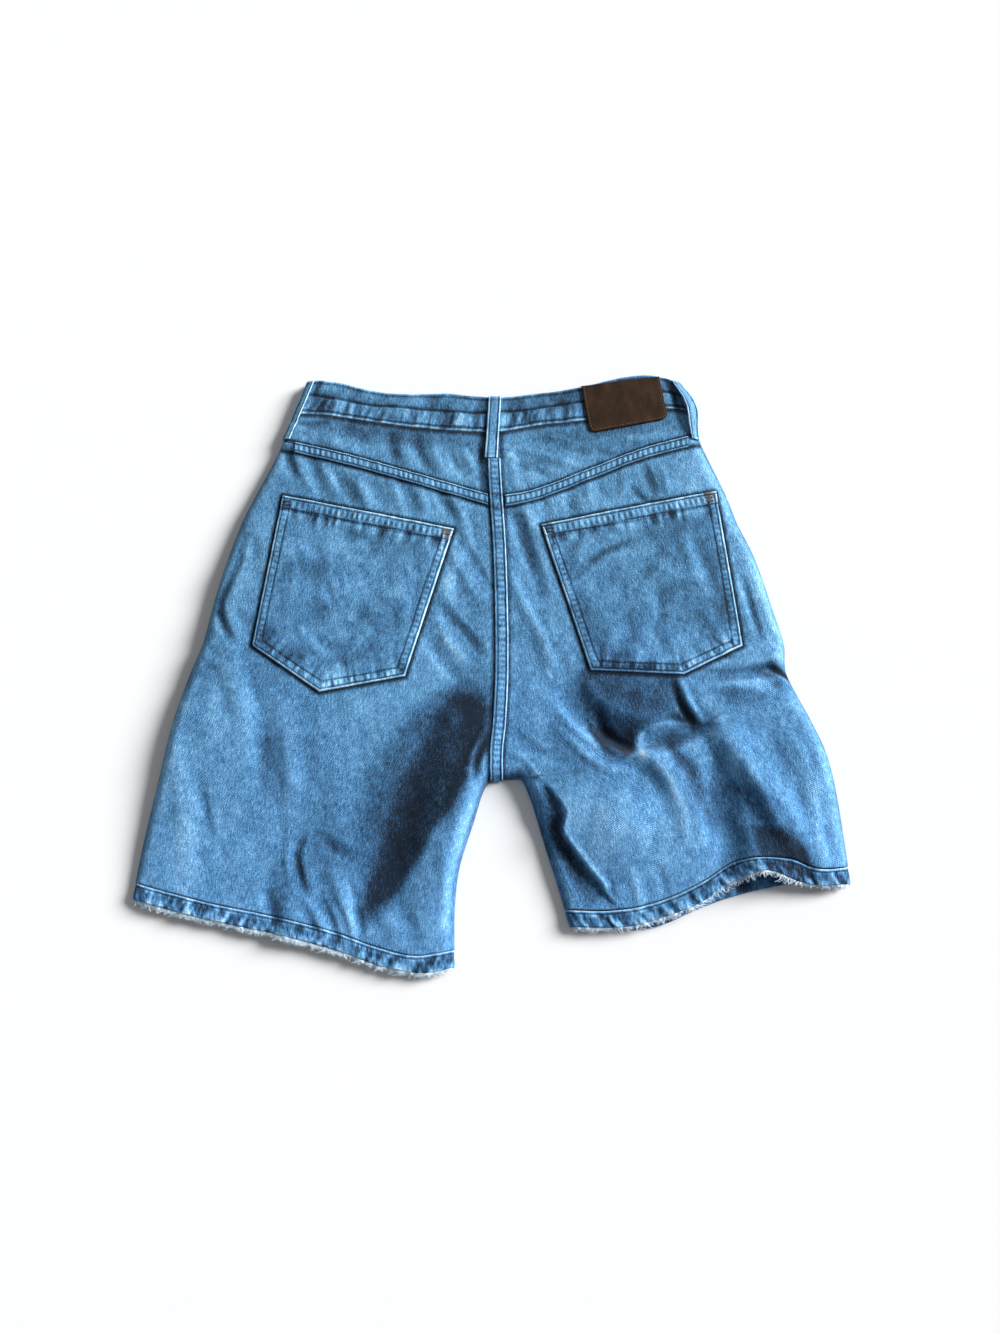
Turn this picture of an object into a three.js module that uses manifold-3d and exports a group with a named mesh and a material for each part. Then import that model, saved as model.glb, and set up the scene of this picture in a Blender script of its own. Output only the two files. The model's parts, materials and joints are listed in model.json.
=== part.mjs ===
// Denim shorts lying flat on their front, back side up.
// Millimetres. +X runs across from the left side seam to the right one, +Y from the hems to the waistband,
// +Z up. The origin is on the surface the shorts lie on, below the middle of their outline.
import * as THREE from 'three';
import { mergeVertices } from 'three/addons/utils/BufferGeometryUtils.js';
import Module from 'manifold-3d';

const wasm = await Module();
wasm.setup();

// The way out from the middle to each side
const SIDES = { left: -1, right: 1 };

// Cloth, bands and gaps
const CLOTH = 1.5;
const BAND = 3;
const GAP = 0.3;
const LAID_GAP = 0.6;
const SEAM_GAP = 0.5;
const SEAT_GAP = 0.5;
const HEM_WIDTH = 15;
// The right hem's arch twists its seam, so the gap there is wider
const HEM_GAP = { left: SEAM_GAP, right: 1.2 };
const FOLD_RADIUS = BAND + 0.1;
const FRONT_LIFT = 1.9;
const LIFT_FLAT = 24;
const LIFT_END = 90;
const FRONT_DIP = 12;
const WAIST_HALF = 198;
// How far down a leg panel's inner edge the seat ends and the inseam starts
const CROTCH_SHARE = { left: 0.635, right: 0.665 };

// How the back rolls down to its side seams and inseams
const ROLL_LEAST = 7;
const ROLL_MOST = 13;
const ROLL_SHARE = 0.74;
const CROWN_REACH = 45;
const LEAST_RISE = 3;
const SEAT_BLEND = 40;
const EDGE_TOLERANCE = 0.12;
const EDGE_STEPS = [0, 0.6, 2, 4.5, 8, 12];

// Trim sewn on the back
const SEAM_STRIP = { thick: 1.1, seatHalf: 6.2, yokeHalf: 5.6, yokeOffset: 3.4, yokeStart: 13, yokeEnd: 8.7 };
const LOOP = { thick: 1.5, width: 12.5, standOff: 6.5 };
const SIDE_LOOP = { inwards: [1.2, 3, 5.5, 8.5], topY: 284, bottomY: 222 };
const POCKET = { thick: 1.4, hemThick: 2.3, hemDepth: 0.1 };
const PATCH = { thick: 1.8, corner: 7 };

// Closures and pockets of the hidden front
const WAIST_BUTTON = { headRadius: 8.5, headThick: 1.5, shankRadius: 3.2, holeRadius: 3.8, x: -4 };
const FLY_BUTTON = { headRadius: 6.5, headThick: 1.1, shankRadius: 2.2, holeRadius: 2.8, x: -13 };
const FLY_BUTTON_DROPS = [30, 68, 106];
const FLY = { length: 140, width: 38, tuck: 14, clear: 5, rise: 2.1, curveFrom: 0.55, curve: 0.92 };
const SHIELD = { inset: 8, taper: 6 };
const BAND_OVERLAP = 19;
// Where the upper end of the waistband starts to rise and is level again, in overlaps from the centre
const LAP = { start: 2.2, ramp: 1.1, level: 2 };
const SCOOP = { across: 92, down: 74, rise: 6, beyond: 60, halfDepth: 10 };
const FACING = { share: 0.56, down: 108, inset: 2.4, below: 1, tilt: 14 };
const FRONT_LOOP = { thick: 1.4, x: 108, below: 14 };

const table = (columns, rows) =>
  rows.map((row) => Object.fromEntries(columns.map((name, i) => [name, row[i]])));

// Outline, seen from above
const OUTSEAM_LEFT = table(['x', 'y'], [
  [-183, 291], [-197, 252], [-216, 203], [-246, 137], [-268, 62], [-278, 16], [-289, -14],
  [-302, -57], [-315, -124], [-326, -183], [-332, -225],
]);
const OUTSEAM_RIGHT = table(['x', 'y'], [
  [184, 291], [197, 258], [204, 226], [229, 168], [240, 137], [254, 106], [272, 46], [280, 16],
  [281, -11], [302, -57], [314, -85], [321, -114], [328, -170], [332, -211],
]);
const CENTRE_BACK = table(['x', 'y'], [
  [2, 230], [2, 194], [4, 157], [7, 109], [9, 40], [9, -20], [7, -60], [4, -90], [4, -115],
]);
const INSEAM_LEFT = table(['x', 'y'], [
  [3.75, -115], [-4, -118], [-18, -157], [-30, -196], [-34, -230], [-34, -286],
]);
const INSEAM_RIGHT = table(['x', 'y'], [
  [4.25, -115], [15, -113], [26, -113], [34, -128], [51, -183], [60, -211], [71, -250],
]);
const WAIST_TOP = table(['x', 'y'], [
  [-183, 286], [-152, 282], [-122, 274], [-92, 270], [-47, 270], [2, 266], [42, 270], [72, 274],
  [102, 281], [132, 288], [152, 290.5], [168, 288], [184, 284],
]);
const WAIST_SEAM = table(['x', 'y'], [
  [-198, 249], [-168, 248], [-127, 241], [-85, 235], [-44, 231], [2, 229], [39, 235], [89, 241],
  [140, 249], [176, 254], [199, 252],
]);
const YOKE_SEAM_LEFT = table(['x', 'y'], [[-207, 220], [-139, 202], [-98, 190], [-57, 177], [4, 158]]);
const YOKE_SEAM_RIGHT = table(['x', 'y'], [[4, 158], [39, 165], [94, 187], [150, 210], [205, 226]]);

// Free edges of the hems: z is not stored, it follows from the lie of the back
const HEM_BACK_LEFT = table(['x', 'y'], [
  [-332, -225], [-263, -243], [-194, -257], [-138, -272], [-97, -286], [-63, -291], [-34, -286],
]);
const HEM_FRONT_LEFT = table(['x', 'y'], [
  [-332, -225], [-263, -241], [-194, -255], [-138, -269], [-97, -282], [-63, -288], [-34, -286],
]);
const HEM_BACK_RIGHT = table(['x', 'y'], [
  [71, -250], [121, -250], [145, -245], [192, -228], [218, -211], [244, -200], [257, -200],
  [275, -207], [298, -213], [332, -211],
]);
const HEM_FRONT_RIGHT = table(['x', 'y'], [
  [71, -250], [122, -252], [150, -250], [192, -233], [220, -223], [276, -211], [332, -211],
]);
const HEM_FREE = {
  left: { back: HEM_BACK_LEFT, front: HEM_FRONT_LEFT },
  right: { back: HEM_BACK_RIGHT, front: HEM_FRONT_RIGHT },
};

// Height of the back above the surface, away from folds and edges
const PLATEAU = table(['y', 'left', 'right'], [
  [-300, 11.5, 12], [-230, 12, 13.5], [-180, 16, 18], [-110, 22, 22], [-40, 24, 23], [60, 23, 23],
  [157, 19, 19], [230, 15, 15], [300, 14.5, 14.5],
]);

// Largest folds: a ridge or trough from start to end, bowed to its left by bend, with its width to
// the left and right of that line and its height at the start, middle and end
const FOLDS = table(
  ['name', 'x0', 'y0', 'x1', 'y1', 'bend', 'left', 'right', 'start', 'middle', 'end'],
  [
    ['left inseam ridge', -6, -50, -56, -262, 0, 26, 52, 0, 14, 2],
    ['left thigh trough', -222, -40, -205, -130, 4, 20, 22, -1, -3, -1],
    ['left hip ridge', -250, 20, -222, -70, -4, 16, 18, 1, 3, 1],
    ['left hem wave', -178, -215, -186, -258, 0, 24, 24, 0, 2.5, 3],
    ['right hollow', 62, -26, 198, -64, -34, 27, 15, -3, -12, -4],
    ['right dome', 92, -146, 150, -166, 0, 54, 54, 5, 9, 5],
    ['right dome rim', 138, -82, 190, -170, 14, 15, 20, 2, 6, 3],
    ['right outer ridge', 196, -40, 304, -202, 0, 26, 22, 1, 9, 4],
    ['right inner valley', 206, -96, 226, -214, 0, 20, 24, -2, -7, -3],
    ['right hem arch', 251, -140, 250, -212, 0, 46, 50, 2, 9, 16],
    ['right side pinch', 284, -10, 186, -24, -2, 11, 10, -9, -6, 0],
  ],
);

const BACK_POCKETS = table(
  [
    'side', 'insideX', 'insideY', 'outsideX', 'outsideY', 'lowInX', 'lowInY', 'lowOutX', 'lowOutY',
    'tipX', 'tipY',
  ],
  [
    ['left', -37, 127, -204, 162, -82, -19, -227, 11, -162, -34],
    ['right', 47, 131, 218, 167, 93, -13, 237, 11, 180, -17],
  ],
);
const PATCH_CORNERS = table(['x', 'y'], [[88, 277], [166, 288], [174, 243], [96, 227]]);
const CENTRE_LOOP = { topX: 2.5, topY: 266, bottomX: -1, bottomY: 201 };

// Finishes
const finish = (color, roughness, metalness = 0) =>
  new THREE.MeshStandardMaterial({ color, roughness, metalness });
const DENIM = () => finish(0x5f94c4, 0.85);
const DENIM_DARK = () => finish(0x4a7aaa, 0.85);
const LEATHER = () => finish(0x4a2f27, 0.6);
const METAL = () => finish(0xa8a49c, 0.35, 1);

// Curves and tables

const spline = (rows) =>
  new THREE.CatmullRomCurve3(rows.map(({ x, y }) => new THREE.Vector3(x, y, 0)), false, 'centripetal');

// The share of the curve's length at which it reaches a height y, found by halving
const HALVINGS = 40;
function shareAtY(curve, y) {
  const falling = curve.getPointAt(0).y > curve.getPointAt(1).y;
  let low = 0;
  let high = 1;
  for (let i = 0; i < HALVINGS; i++) {
    const middle = (low + high) / 2;
    const above = curve.getPointAt(middle).y > y;
    if (above === falling) low = middle;
    else high = middle;
  }
  return low;
}

// A line across the waist whose ends lie on the side seams
function betweenSides(rows) {
  const end = (side, row) => {
    const point = outseam[side].getPointAt(shareAtY(outseam[side], row.y));
    return { x: point.x, y: point.y };
  };
  return spline([end('left', rows[0]), ...rows.slice(1, -1), end('right', rows.at(-1))]);
}

const stretch = (curve, from, to) => (share) => curve.getPointAt(from + (to - from) * share);
const joined = (first, second, at) => (share) =>
  share < at ? first(share / at) : second((share - at) / (1 - at));
const shifted = (edge, dx, dy) => (share) => edge(share).clone().add(new THREE.Vector3(dx, dy, 0));
// An edge across a half, from its outer end to the seat, where the two halves keep their gap
const acrossHalf = (edge, side, dy) => (share) =>
  edge(share).clone().add(new THREE.Vector3((share * SIDES[side] * SEAT_GAP) / 2, dy, 0));
const mix = (a, b, t) => a + (b - a) * t;
const clamp = (t, low = 0, high = 1) => Math.min(high, Math.max(low, t));
const smooth = (t) => clamp(t) ** 2 * (3 - 2 * clamp(t));

// A smooth cubic through the rows of a table, read at y
function readTable(rows, y, column) {
  const last = rows.length - 2;
  const i = clamp(rows.findIndex((row) => row.y > y) - 1, 0, last);
  const slope = (a, b) => (rows[b][column] - rows[a][column]) / (rows[b].y - rows[a].y);
  const before = slope(Math.max(i - 1, 0), i + 1);
  const after = slope(i, Math.min(i + 2, last + 1));
  const span = rows[i + 1].y - rows[i].y;
  const t = clamp((y - rows[i].y) / span);
  const [a, b] = [rows[i][column], rows[i + 1][column]];
  return a * (2 * t ** 3 - 3 * t ** 2 + 1) + b * (3 * t ** 2 - 2 * t ** 3)
    + span * (before * (t ** 3 - 2 * t ** 2 + t) + after * (t ** 3 - t ** 2));
}

const outseam = { left: spline(OUTSEAM_LEFT), right: spline(OUTSEAM_RIGHT) };
const inseam = { left: spline(INSEAM_LEFT), right: spline(INSEAM_RIGHT) };
const centreBack = spline(CENTRE_BACK);
const waistTop = betweenSides(WAIST_TOP);
const waistSeam = betweenSides(WAIST_SEAM);
const yokeSeam = { left: spline(YOKE_SEAM_LEFT), right: spline([...YOKE_SEAM_RIGHT].reverse()) };

// The folded edge all round, walked with the cloth on its left: down the left side seam, up the left
// inseam, down the right inseam and up the right side seam
const PERIMETER_STEPS = 90;
const walk = (curve, backwards) =>
  Array.from({ length: PERIMETER_STEPS + 1 }, (_, i) => {
    const share = i / PERIMETER_STEPS;
    return curve.getPointAt(backwards ? 1 - share : share);
  });
const perimeter = [
  walk(outseam.left, false), walk(inseam.left, true), walk(inseam.right, false), walk(outseam.right, true),
].flatMap((points) => points.slice(1).map((end, i) => [points[i], end]));

// The nearest point of the folded edge: how far it is, and the way out across it
function nearestEdge(x, y) {
  let best = { distance: Infinity, outX: 0, outY: 0 };
  for (const [a, b] of perimeter) {
    const [dx, dy] = [b.x - a.x, b.y - a.y];
    const t = clamp(((x - a.x) * dx + (y - a.y) * dy) / (dx * dx + dy * dy));
    const distance = Math.hypot(x - a.x - t * dx, y - a.y - t * dy);
    if (distance < best.distance) {
      const length = Math.hypot(dx, dy);
      best = { distance, outX: dy / length, outY: -dx / length };
    }
  }
  return { ...best, distance: Math.max(0, best.distance - EDGE_TOLERANCE) };
}

// What one fold adds to the height
const FOLD_STEPS = 14;
function foldHeight(fold, x, y) {
  const [dx, dy] = [fold.x1 - fold.x0, fold.y1 - fold.y0];
  const length = Math.hypot(dx, dy);
  const reach = Math.max(fold.left, fold.right) + Math.abs(fold.bend);
  const along = ((x - fold.x0) * dx + (y - fold.y0) * dy) / length;
  const across = ((y - fold.y0) * dx - (x - fold.x0) * dy) / length;
  if (along < -reach || along > length + reach || Math.abs(across) > reach) return 0;
  const bowed = (t) => [t * length, 4 * fold.bend * t * (1 - t)];
  let best = { distance: Infinity };
  for (let i = 0; i < FOLD_STEPS; i++) {
    const [start, end] = [bowed(i / FOLD_STEPS), bowed((i + 1) / FOLD_STEPS)];
    const [ds, db] = [end[0] - start[0], end[1] - start[1]];
    const q = clamp(((along - start[0]) * ds + (across - start[1]) * db) / (ds * ds + db * db));
    const side = across - start[1] - q * db;
    const distance = Math.hypot(along - start[0] - q * ds, side);
    if (distance < best.distance) best = { distance, t: (i + q) / FOLD_STEPS, side };
  }
  const half = best.side > 0 ? fold.left : fold.right;
  const bell = clamp(1 - (best.distance / half) ** 2) ** 2;
  const t = best.t;
  const ends = fold.start * (1 - t) * (1 - 2 * t) + fold.end * t * (2 * t - 1);
  return (ends + fold.middle * 4 * t * (1 - t)) * bell;
}

const frontWaistY = (x) => {
  const share = clamp((x - WAIST_SEAM[0].x) / (WAIST_SEAM.at(-1).x - WAIST_SEAM[0].x));
  return waistSeam.getPointAt(share).y - FRONT_DIP * Math.sin(Math.PI * share);
};
const frontLift = (x, y) =>
  FRONT_LIFT * (1 - smooth((frontWaistY(x) - y - LIFT_FLAT) / (LIFT_END - LIFT_FLAT)));

// Height of the outer face of the back, which starts at foot on the folded edge
function backHeight(x, y, foot = frontLift(x, y) + CLOTH + GAP) {
  const { distance } = nearestEdge(x, y);
  const side = smooth((x + SEAT_BLEND) / (2 * SEAT_BLEND));
  const plateau = mix(readTable(PLATEAU, y, 'left'), readTable(PLATEAU, y, 'right'), side);
  const folds = FOLDS.reduce((sum, fold) => sum + foldHeight(fold, x, y), 0);
  const rise = Math.max(LEAST_RISE, plateau + folds - foot);
  const radius = clamp(rise, ROLL_LEAST, ROLL_MOST);
  const roll = Math.sqrt(1 - (1 - clamp(distance / radius)) ** 2);
  return foot + rise * (ROLL_SHARE * roll + (1 - ROLL_SHARE) * (1 - Math.exp(-distance / CROWN_REACH)));
}

const NORMAL_STEP = 0.4;
function backNormal(x, y, foot) {
  const edge = nearestEdge(x, y);
  if (edge.distance < EDGE_TOLERANCE) return new THREE.Vector3(edge.outX, edge.outY, 0);
  const dzdx = backHeight(x + NORMAL_STEP, y, foot) - backHeight(x - NORMAL_STEP, y, foot);
  const dzdy = backHeight(x, y + NORMAL_STEP, foot) - backHeight(x, y - NORMAL_STEP, foot);
  return new THREE.Vector3(-dzdx, -dzdy, 2 * NORMAL_STEP).normalize();
}

// A point of the back, moved out along its normal
function onBack({ x, y }, out = 0, foot = undefined) {
  return new THREE.Vector3(x, y, backHeight(x, y, foot)).addScaledVector(backNormal(x, y, foot), out);
}
const onFront = ({ x, y }, up) => new THREE.Vector3(x, y, frontLift(x, y) + up);

// Closed bodies

function geometryOf(points, triangles) {
  const geometry = new THREE.BufferGeometry();
  const coordinates = points.flatMap((p) => [p.x, p.y, p.z]);
  geometry.setAttribute('position', new THREE.Float32BufferAttribute(coordinates, 3));
  geometry.setIndex(triangles.flat());
  return geometry;
}

// A body between two grids of points, upper and lower, whose rows run along +X and follow each other
// towards -Y. A ring's rows close on themselves.
function layer(upper, lower, ring = false) {
  const [rows, columns] = [upper.length, upper[0].length];
  const points = [...upper.flat(), ...lower.flat()];
  const top = (r, c) => r * columns + (c % columns);
  const bottom = (r, c) => rows * columns + top(r, c);
  const triangles = [];
  const quad = (a, b, c, d) => triangles.push([a, b, c], [a, c, d]);
  const across = ring ? columns : columns - 1;
  for (let r = 0; r < rows - 1; r++) {
    for (let c = 0; c < across; c++) {
      quad(top(r, c), top(r + 1, c), top(r + 1, c + 1), top(r, c + 1));
      quad(bottom(r, c), bottom(r, c + 1), bottom(r + 1, c + 1), bottom(r + 1, c));
    }
  }
  for (let c = 0; c < across; c++) {
    quad(top(0, c), top(0, c + 1), bottom(0, c + 1), bottom(0, c));
    quad(top(rows - 1, c + 1), top(rows - 1, c), bottom(rows - 1, c), bottom(rows - 1, c + 1));
  }
  for (let r = 0; r < rows - 1 && !ring; r++) {
    quad(top(r + 1, 0), top(r, 0), bottom(r, 0), bottom(r + 1, 0));
    quad(top(r, columns - 1), top(r + 1, columns - 1), bottom(r + 1, columns - 1), bottom(r, columns - 1));
  }
  return geometryOf(points, triangles);
}

const grid = (rowShares, columnShares, place) =>
  rowShares.map((v) => columnShares(v).map((u) => place(u, v)));
const even = (count, from = 0, to = 1) =>
  Array.from({ length: count }, (_, i) => from + ((to - from) * i) / (count - 1));
const always = (shares) => () => shares;

// Shares across a row of the given length, close together at both folded edges
function closeAtEdges(length, inner) {
  const steps = EDGE_STEPS.map((step) => step / length);
  const middle = even(inner + 2, steps.at(-1), 1 - steps.at(-1)).slice(1, -1);
  return [...steps, ...middle, ...steps.map((step) => 1 - step).reverse()];
}

function solidOf(geometry) {
  const merged = geometry.clone();
  merged.deleteAttribute('normal');
  merged.deleteAttribute('uv');
  const indexed = mergeVertices(merged, 1e-4);
  const mesh = new wasm.Mesh({
    numProp: 3,
    vertProperties: new Float32Array(indexed.getAttribute('position').array),
    triVerts: new Uint32Array(indexed.getIndex().array),
  });
  return new wasm.Manifold(mesh);
}

function cut(geometry, ...tools) {
  const result = tools.reduce((body, tool) => body.subtract(solidOf(tool)), solidOf(geometry)).getMesh();
  const piece = new THREE.BufferGeometry();
  piece.setAttribute('position', new THREE.Float32BufferAttribute(result.vertProperties, 3));
  piece.setIndex([...result.triVerts]);
  return piece;
}

// Panels: a patch between four edges. u runs from the outer edge to the inner one, v from top to bottom.

function panelPoint({ top, bottom, outer, inner }, u, v) {
  const [t, b, o, i] = [top(u), bottom(u), outer(v), inner(v)];
  const [to, ti, bo, bi] = [outer(0), inner(0), outer(1), inner(1)];
  const blend = (axis) =>
    mix(t[axis], b[axis], v) + mix(o[axis], i[axis], u)
    - mix(mix(to[axis], ti[axis], u), mix(bo[axis], bi[axis], u), v);
  return { x: blend('x'), y: blend('y') };
}

// The seam line of a hem: its free edge moved up by the band's width, with its ends on the folded edges
function hemSeamLine(side, layerName) {
  const free = spline(HEM_FREE[side][layerName]);
  const ends = side === 'left' ? [outseam.left, inseam.left] : [inseam.right, outseam.right];
  const at = (curve) => {
    const point = curve.getPointAt(shareAtY(curve, curve.getPointAt(1).y + HEM_WIDTH));
    return { x: point.x, y: point.y };
  };
  const middle = even(9).slice(1, -1).map((share) => {
    const point = free.getPointAt(share);
    const tangent = free.getTangentAt(share);
    return { x: point.x - tangent.y * HEM_WIDTH, y: point.y + tangent.x * HEM_WIDTH };
  });
  return spline([at(ends[0]), ...middle, at(ends[1])]);
}

const hemLines = Object.fromEntries(Object.keys(SIDES).map((side) => [side, {
  back: { seam: hemSeamLine(side, 'back'), free: spline(HEM_FREE[side].back) },
  front: { seam: hemSeamLine(side, 'front'), free: spline(HEM_FREE[side].front) },
}]));

// A hem line of one side as an edge from the outer side to the inner one
const hemEdge = (side, curve) => (side === 'left' ? stretch(curve, 0, 1) : stretch(curve, 1, 0));

const innerEdge = (side, seatFrom, hemY, at) =>
  joined(
    shifted(stretch(centreBack, seatFrom, 1), (SIDES[side] * SEAT_GAP) / 2, 0),
    stretch(inseam[side], 0, shareAtY(inseam[side], hemY)),
    at,
  );

function legPanel(side, layerName) {
  const hem = hemEdge(side, hemLines[side][layerName].seam);
  const hemY = { outer: hem(0).y + HEM_GAP[side], inner: hem(1).y + HEM_GAP[side] };
  const front = layerName === 'front';
  const top = front ? frontTopEdge(side) : acrossHalf(stretch(yokeSeam[side], 0, 1), side, -GAP / 2);
  const seatFrom = shareAtY(centreBack, top(1).y);
  return {
    top,
    bottom: shifted(hem, 0, HEM_GAP[side]),
    width: (v) => mix(top(0).distanceTo(top(1)), hemLines[side].back.seam.getLength(), v),
    outer: stretch(outseam[side], shareAtY(outseam[side], top(0).y), shareAtY(outseam[side], hemY.outer)),
    inner: innerEdge(side, seatFrom, hemY.inner, CROTCH_SHARE[side]),
  };
}

// The front's seam to the waistband, from the side seam to the centre
function frontTopEdge(side) {
  const fold = outseam[side].getPointAt(shareAtY(outseam[side], frontWaistY(SIDES[side] * WAIST_HALF)));
  return (share) => {
    const x = mix(fold.x, centreBack.getPointAt(0).x + (SIDES[side] * SEAT_GAP) / 2, share);
    return new THREE.Vector3(x, frontWaistY(x) - SEAM_GAP, 0);
  };
}

// Rows down a leg, close together where the seat rolls under at the crotch
const seatShares = (rows) => [...even(rows, 0, 0.945), 0.97, 0.988, 1];
function legRows(side, seatRows, rowsBelow) {
  const at = CROTCH_SHARE[side];
  return [...seatShares(seatRows).map((share) => share * at), ...even(rowsBelow, at, 1).slice(1)];
}

// u runs from outer to inner, so the left side's rows already run along +X and the right side's are turned
const alongX = (side, points) => (side === 'left' ? points : points.map((row) => [...row].reverse()));

function wall(side, panel, rows, columns, pointAt) {
  const place = (depth) =>
    alongX(side, grid(rows, columns, (u, v) => pointAt(panelPoint(panel, u, v), depth)));
  return { place };
}

function backPanel(side, panel, rows, inner) {
  const columns = (v) => closeAtEdges(panel.width(v), inner);
  const { place } = wall(side, panel, rows, columns, (point, depth) => onBack(point, -depth));
  return layer(place(0), place(CLOTH));
}

const INNER_COLUMNS = { left: 14, right: 18 };
const SEAT_ROWS = 16;
const backLeg = (side) =>
  backPanel(side, legPanel(side, 'back'), legRows(side, SEAT_ROWS, 11), INNER_COLUMNS[side]);

function yoke(side) {
  const half = stretch(waistSeam, side === 'left' ? 0 : 1, WAIST_CENTRE_SHARE);
  const top = acrossHalf(half, side, -GAP);
  const bottom = acrossHalf(stretch(yokeSeam[side], 0, 1), side, GAP / 2);
  const panel = {
    top,
    bottom,
    outer: stretch(outseam[side], shareAtY(outseam[side], top(0).y), shareAtY(outseam[side], bottom(0).y)),
    inner: shifted(
      stretch(centreBack, shareAtY(centreBack, top(1).y), shareAtY(centreBack, bottom(1).y)),
      (SIDES[side] * SEAT_GAP) / 2, 0,
    ),
    width: () => top(0).distanceTo(top(1)),
  };
  return backPanel(side, panel, even(7), 11);
}

const FRONT_COLUMNS = 12;
function frontLeg(side) {
  const panel = legPanel(side, 'front');
  const { place } = wall(side, panel, legRows(side, 10, 6), always(even(FRONT_COLUMNS)), onFront);
  return cut(layer(place(CLOTH), place(0)), scoop(side));
}

// The curved bite that opens the front pocket, a quarter of an ellipse round the top of the side seam
const SCOOP_POINTS = 14;
function scoop(side) {
  const corner = frontTopEdge(side)(0);
  const inwards = -SIDES[side];
  const outline = even(SCOOP_POINTS, 0, Math.PI / 2).map((angle) => new THREE.Vector2(
    corner.x + inwards * (SCOOP.across * Math.cos(angle)),
    corner.y - SCOOP.down * Math.sin(angle) + SCOOP.rise * Math.cos(angle),
  ));
  const beyondX = corner.x - inwards * SCOOP.beyond;
  outline.push(
    new THREE.Vector2(beyondX, corner.y - SCOOP.down),
    new THREE.Vector2(beyondX, corner.y + SCOOP.beyond),
    new THREE.Vector2(outline[0].x, corner.y + SCOOP.beyond),
  );
  const options = { depth: 2 * SCOOP.halfDepth, bevelEnabled: false };
  return new THREE.ExtrudeGeometry(new THREE.Shape(outline), options).translate(0, 0, -SCOOP.halfDepth);
}

// The facing seen through the scoop, inside the front and short of the back's rolled edge
function hipFacing(side) {
  const top = frontTopEdge(side);
  const corner = top(0);
  const low = corner.y - FACING.down;
  const side0 = outseam[side];
  const outer = stretch(side0, shareAtY(side0, corner.y), shareAtY(side0, low));
  const inset = -SIDES[side] * FACING.inset;
  const panel = {
    top: (share) => shifted(top, inset * (1 - share), -FACING.below)(share * FACING.share),
    bottom: (share) => new THREE.Vector3(
      mix(outer(1).x + inset, top(FACING.share).x, share), low + FACING.tilt * share, 0,
    ),
    outer: (share) => shifted(outer, inset, -FACING.below * (1 - share))(share),
    inner: (share) => new THREE.Vector3(
      top(FACING.share).x, mix(top(FACING.share).y - FACING.below, low + FACING.tilt, share), 0,
    ),
  };
  const { place } = wall(side, panel, even(7), always(even(9)), onFront);
  return layer(place(2 * CLOTH + GAP), place(CLOTH + GAP));
}

// Hems: a ring of turned cloth round each leg opening, its lower half flat on the surface

// Turned edges: the angles of their steps, and how far out their inner face stands as a share of the turn
const TURN_ANGLES = [Math.PI / 6, Math.PI / 3, Math.PI / 2];
const INNER_TURN = 0.03;
const HEM_ROWS = 3;
function hem(side) {
  const { back, front } = hemLines[side];
  const length = back.seam.getLength();
  const shares = closeAtEdges(length, INNER_COLUMNS[side]);
  const ends = [FOLD_RADIUS / length, 1 - FOLD_RADIUS / length];
  const floorShares = [ends[0], ...even(FRONT_COLUMNS).slice(1, -1), ends[1]];
  const rowAt = (w) => {
    const across = ({ seam, free }) => (share) =>
      new THREE.Vector3().lerpVectors(seam.getPointAt(share), free.getPointAt(share), w);
    return { upper: across(back), lower: across(front) };
  };
  const turn = (lower, atStart) => TURN_ANGLES.slice(0, 2).map((angle) => {
    const inwards = (FOLD_RADIUS * (1 - Math.cos(angle))) / length;
    const point = lower(atStart ? inwards : 1 - inwards);
    const centre = lower(atStart ? FOLD_RADIUS / length : 1 - FOLD_RADIUS / length);
    return {
      outer: new THREE.Vector3(point.x, point.y, FOLD_RADIUS * (1 - Math.sin(angle))),
      inner: new THREE.Vector3(
        mix(centre.x, point.x, INNER_TURN), mix(centre.y, point.y, INNER_TURN),
        FOLD_RADIUS - (FOLD_RADIUS - BAND) * Math.sin(angle),
      ),
    };
  });
  const loops = even(HEM_ROWS).map((w) => {
    const { upper, lower } = rowAt(w);
    const above = shares.map((share) => {
      const point = upper(share);
      return { outer: onBack(point, 0, FOLD_RADIUS), inner: onBack(point, -BAND, FOLD_RADIUS) };
    });
    const below = floorShares.map((share) => {
      const point = lower(share);
      return { outer: point.clone().setZ(0), inner: point.clone().setZ(BAND) };
    });
    return [...above, ...turn(lower, false), ...below.reverse(), ...turn(lower, true).reverse()];
  });
  const face = (name) => loops.map((loop) => loop.map((point) => point[name]));
  return layer(face('outer'), face('inner'), true);
}

// Waistband: an arch over the back that turns under at both sides, and two flat ends that overlap at
// the centre front

const WAIST_CENTRE_SHARE = shareOfX(waistSeam, centreBack.getPointAt(0).x);

function shareOfX(curve, x) {
  let [low, high] = [0, 1];
  for (let i = 0; i < HALVINGS; i++) {
    const middle = (low + high) / 2;
    if (curve.getPointAt(middle).x < x) low = middle;
    else high = middle;
  }
  return low;
}

const bandFoot = FRONT_LIFT + FOLD_RADIUS;
const bandPoint = (share, w) =>
  new THREE.Vector3().lerpVectors(waistTop.getPointAt(share), waistSeam.getPointAt(share), w);

const bandFrontPoint = (share, w) => {
  const point = bandPoint(share, w);
  point.y -= FRONT_DIP * Math.sin(Math.PI * share);
  return point;
};

const BAND_ROWS = 3;
const BAND_COLUMNS = 26;

function bandStrip(columnsAt) {
  const rows = even(BAND_ROWS).map(columnsAt);
  return layer(rows.map((row) => row.map((p) => p.outer)), rows.map((row) => row.map((p) => p.inner)));
}

const bandFlat = (share, w, lift) => {
  const { x, y } = bandFrontPoint(share, w);
  const z = FRONT_LIFT + lift;
  return { outer: new THREE.Vector3(x, y, z), inner: new THREE.Vector3(x, y, z + BAND) };
};

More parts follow.
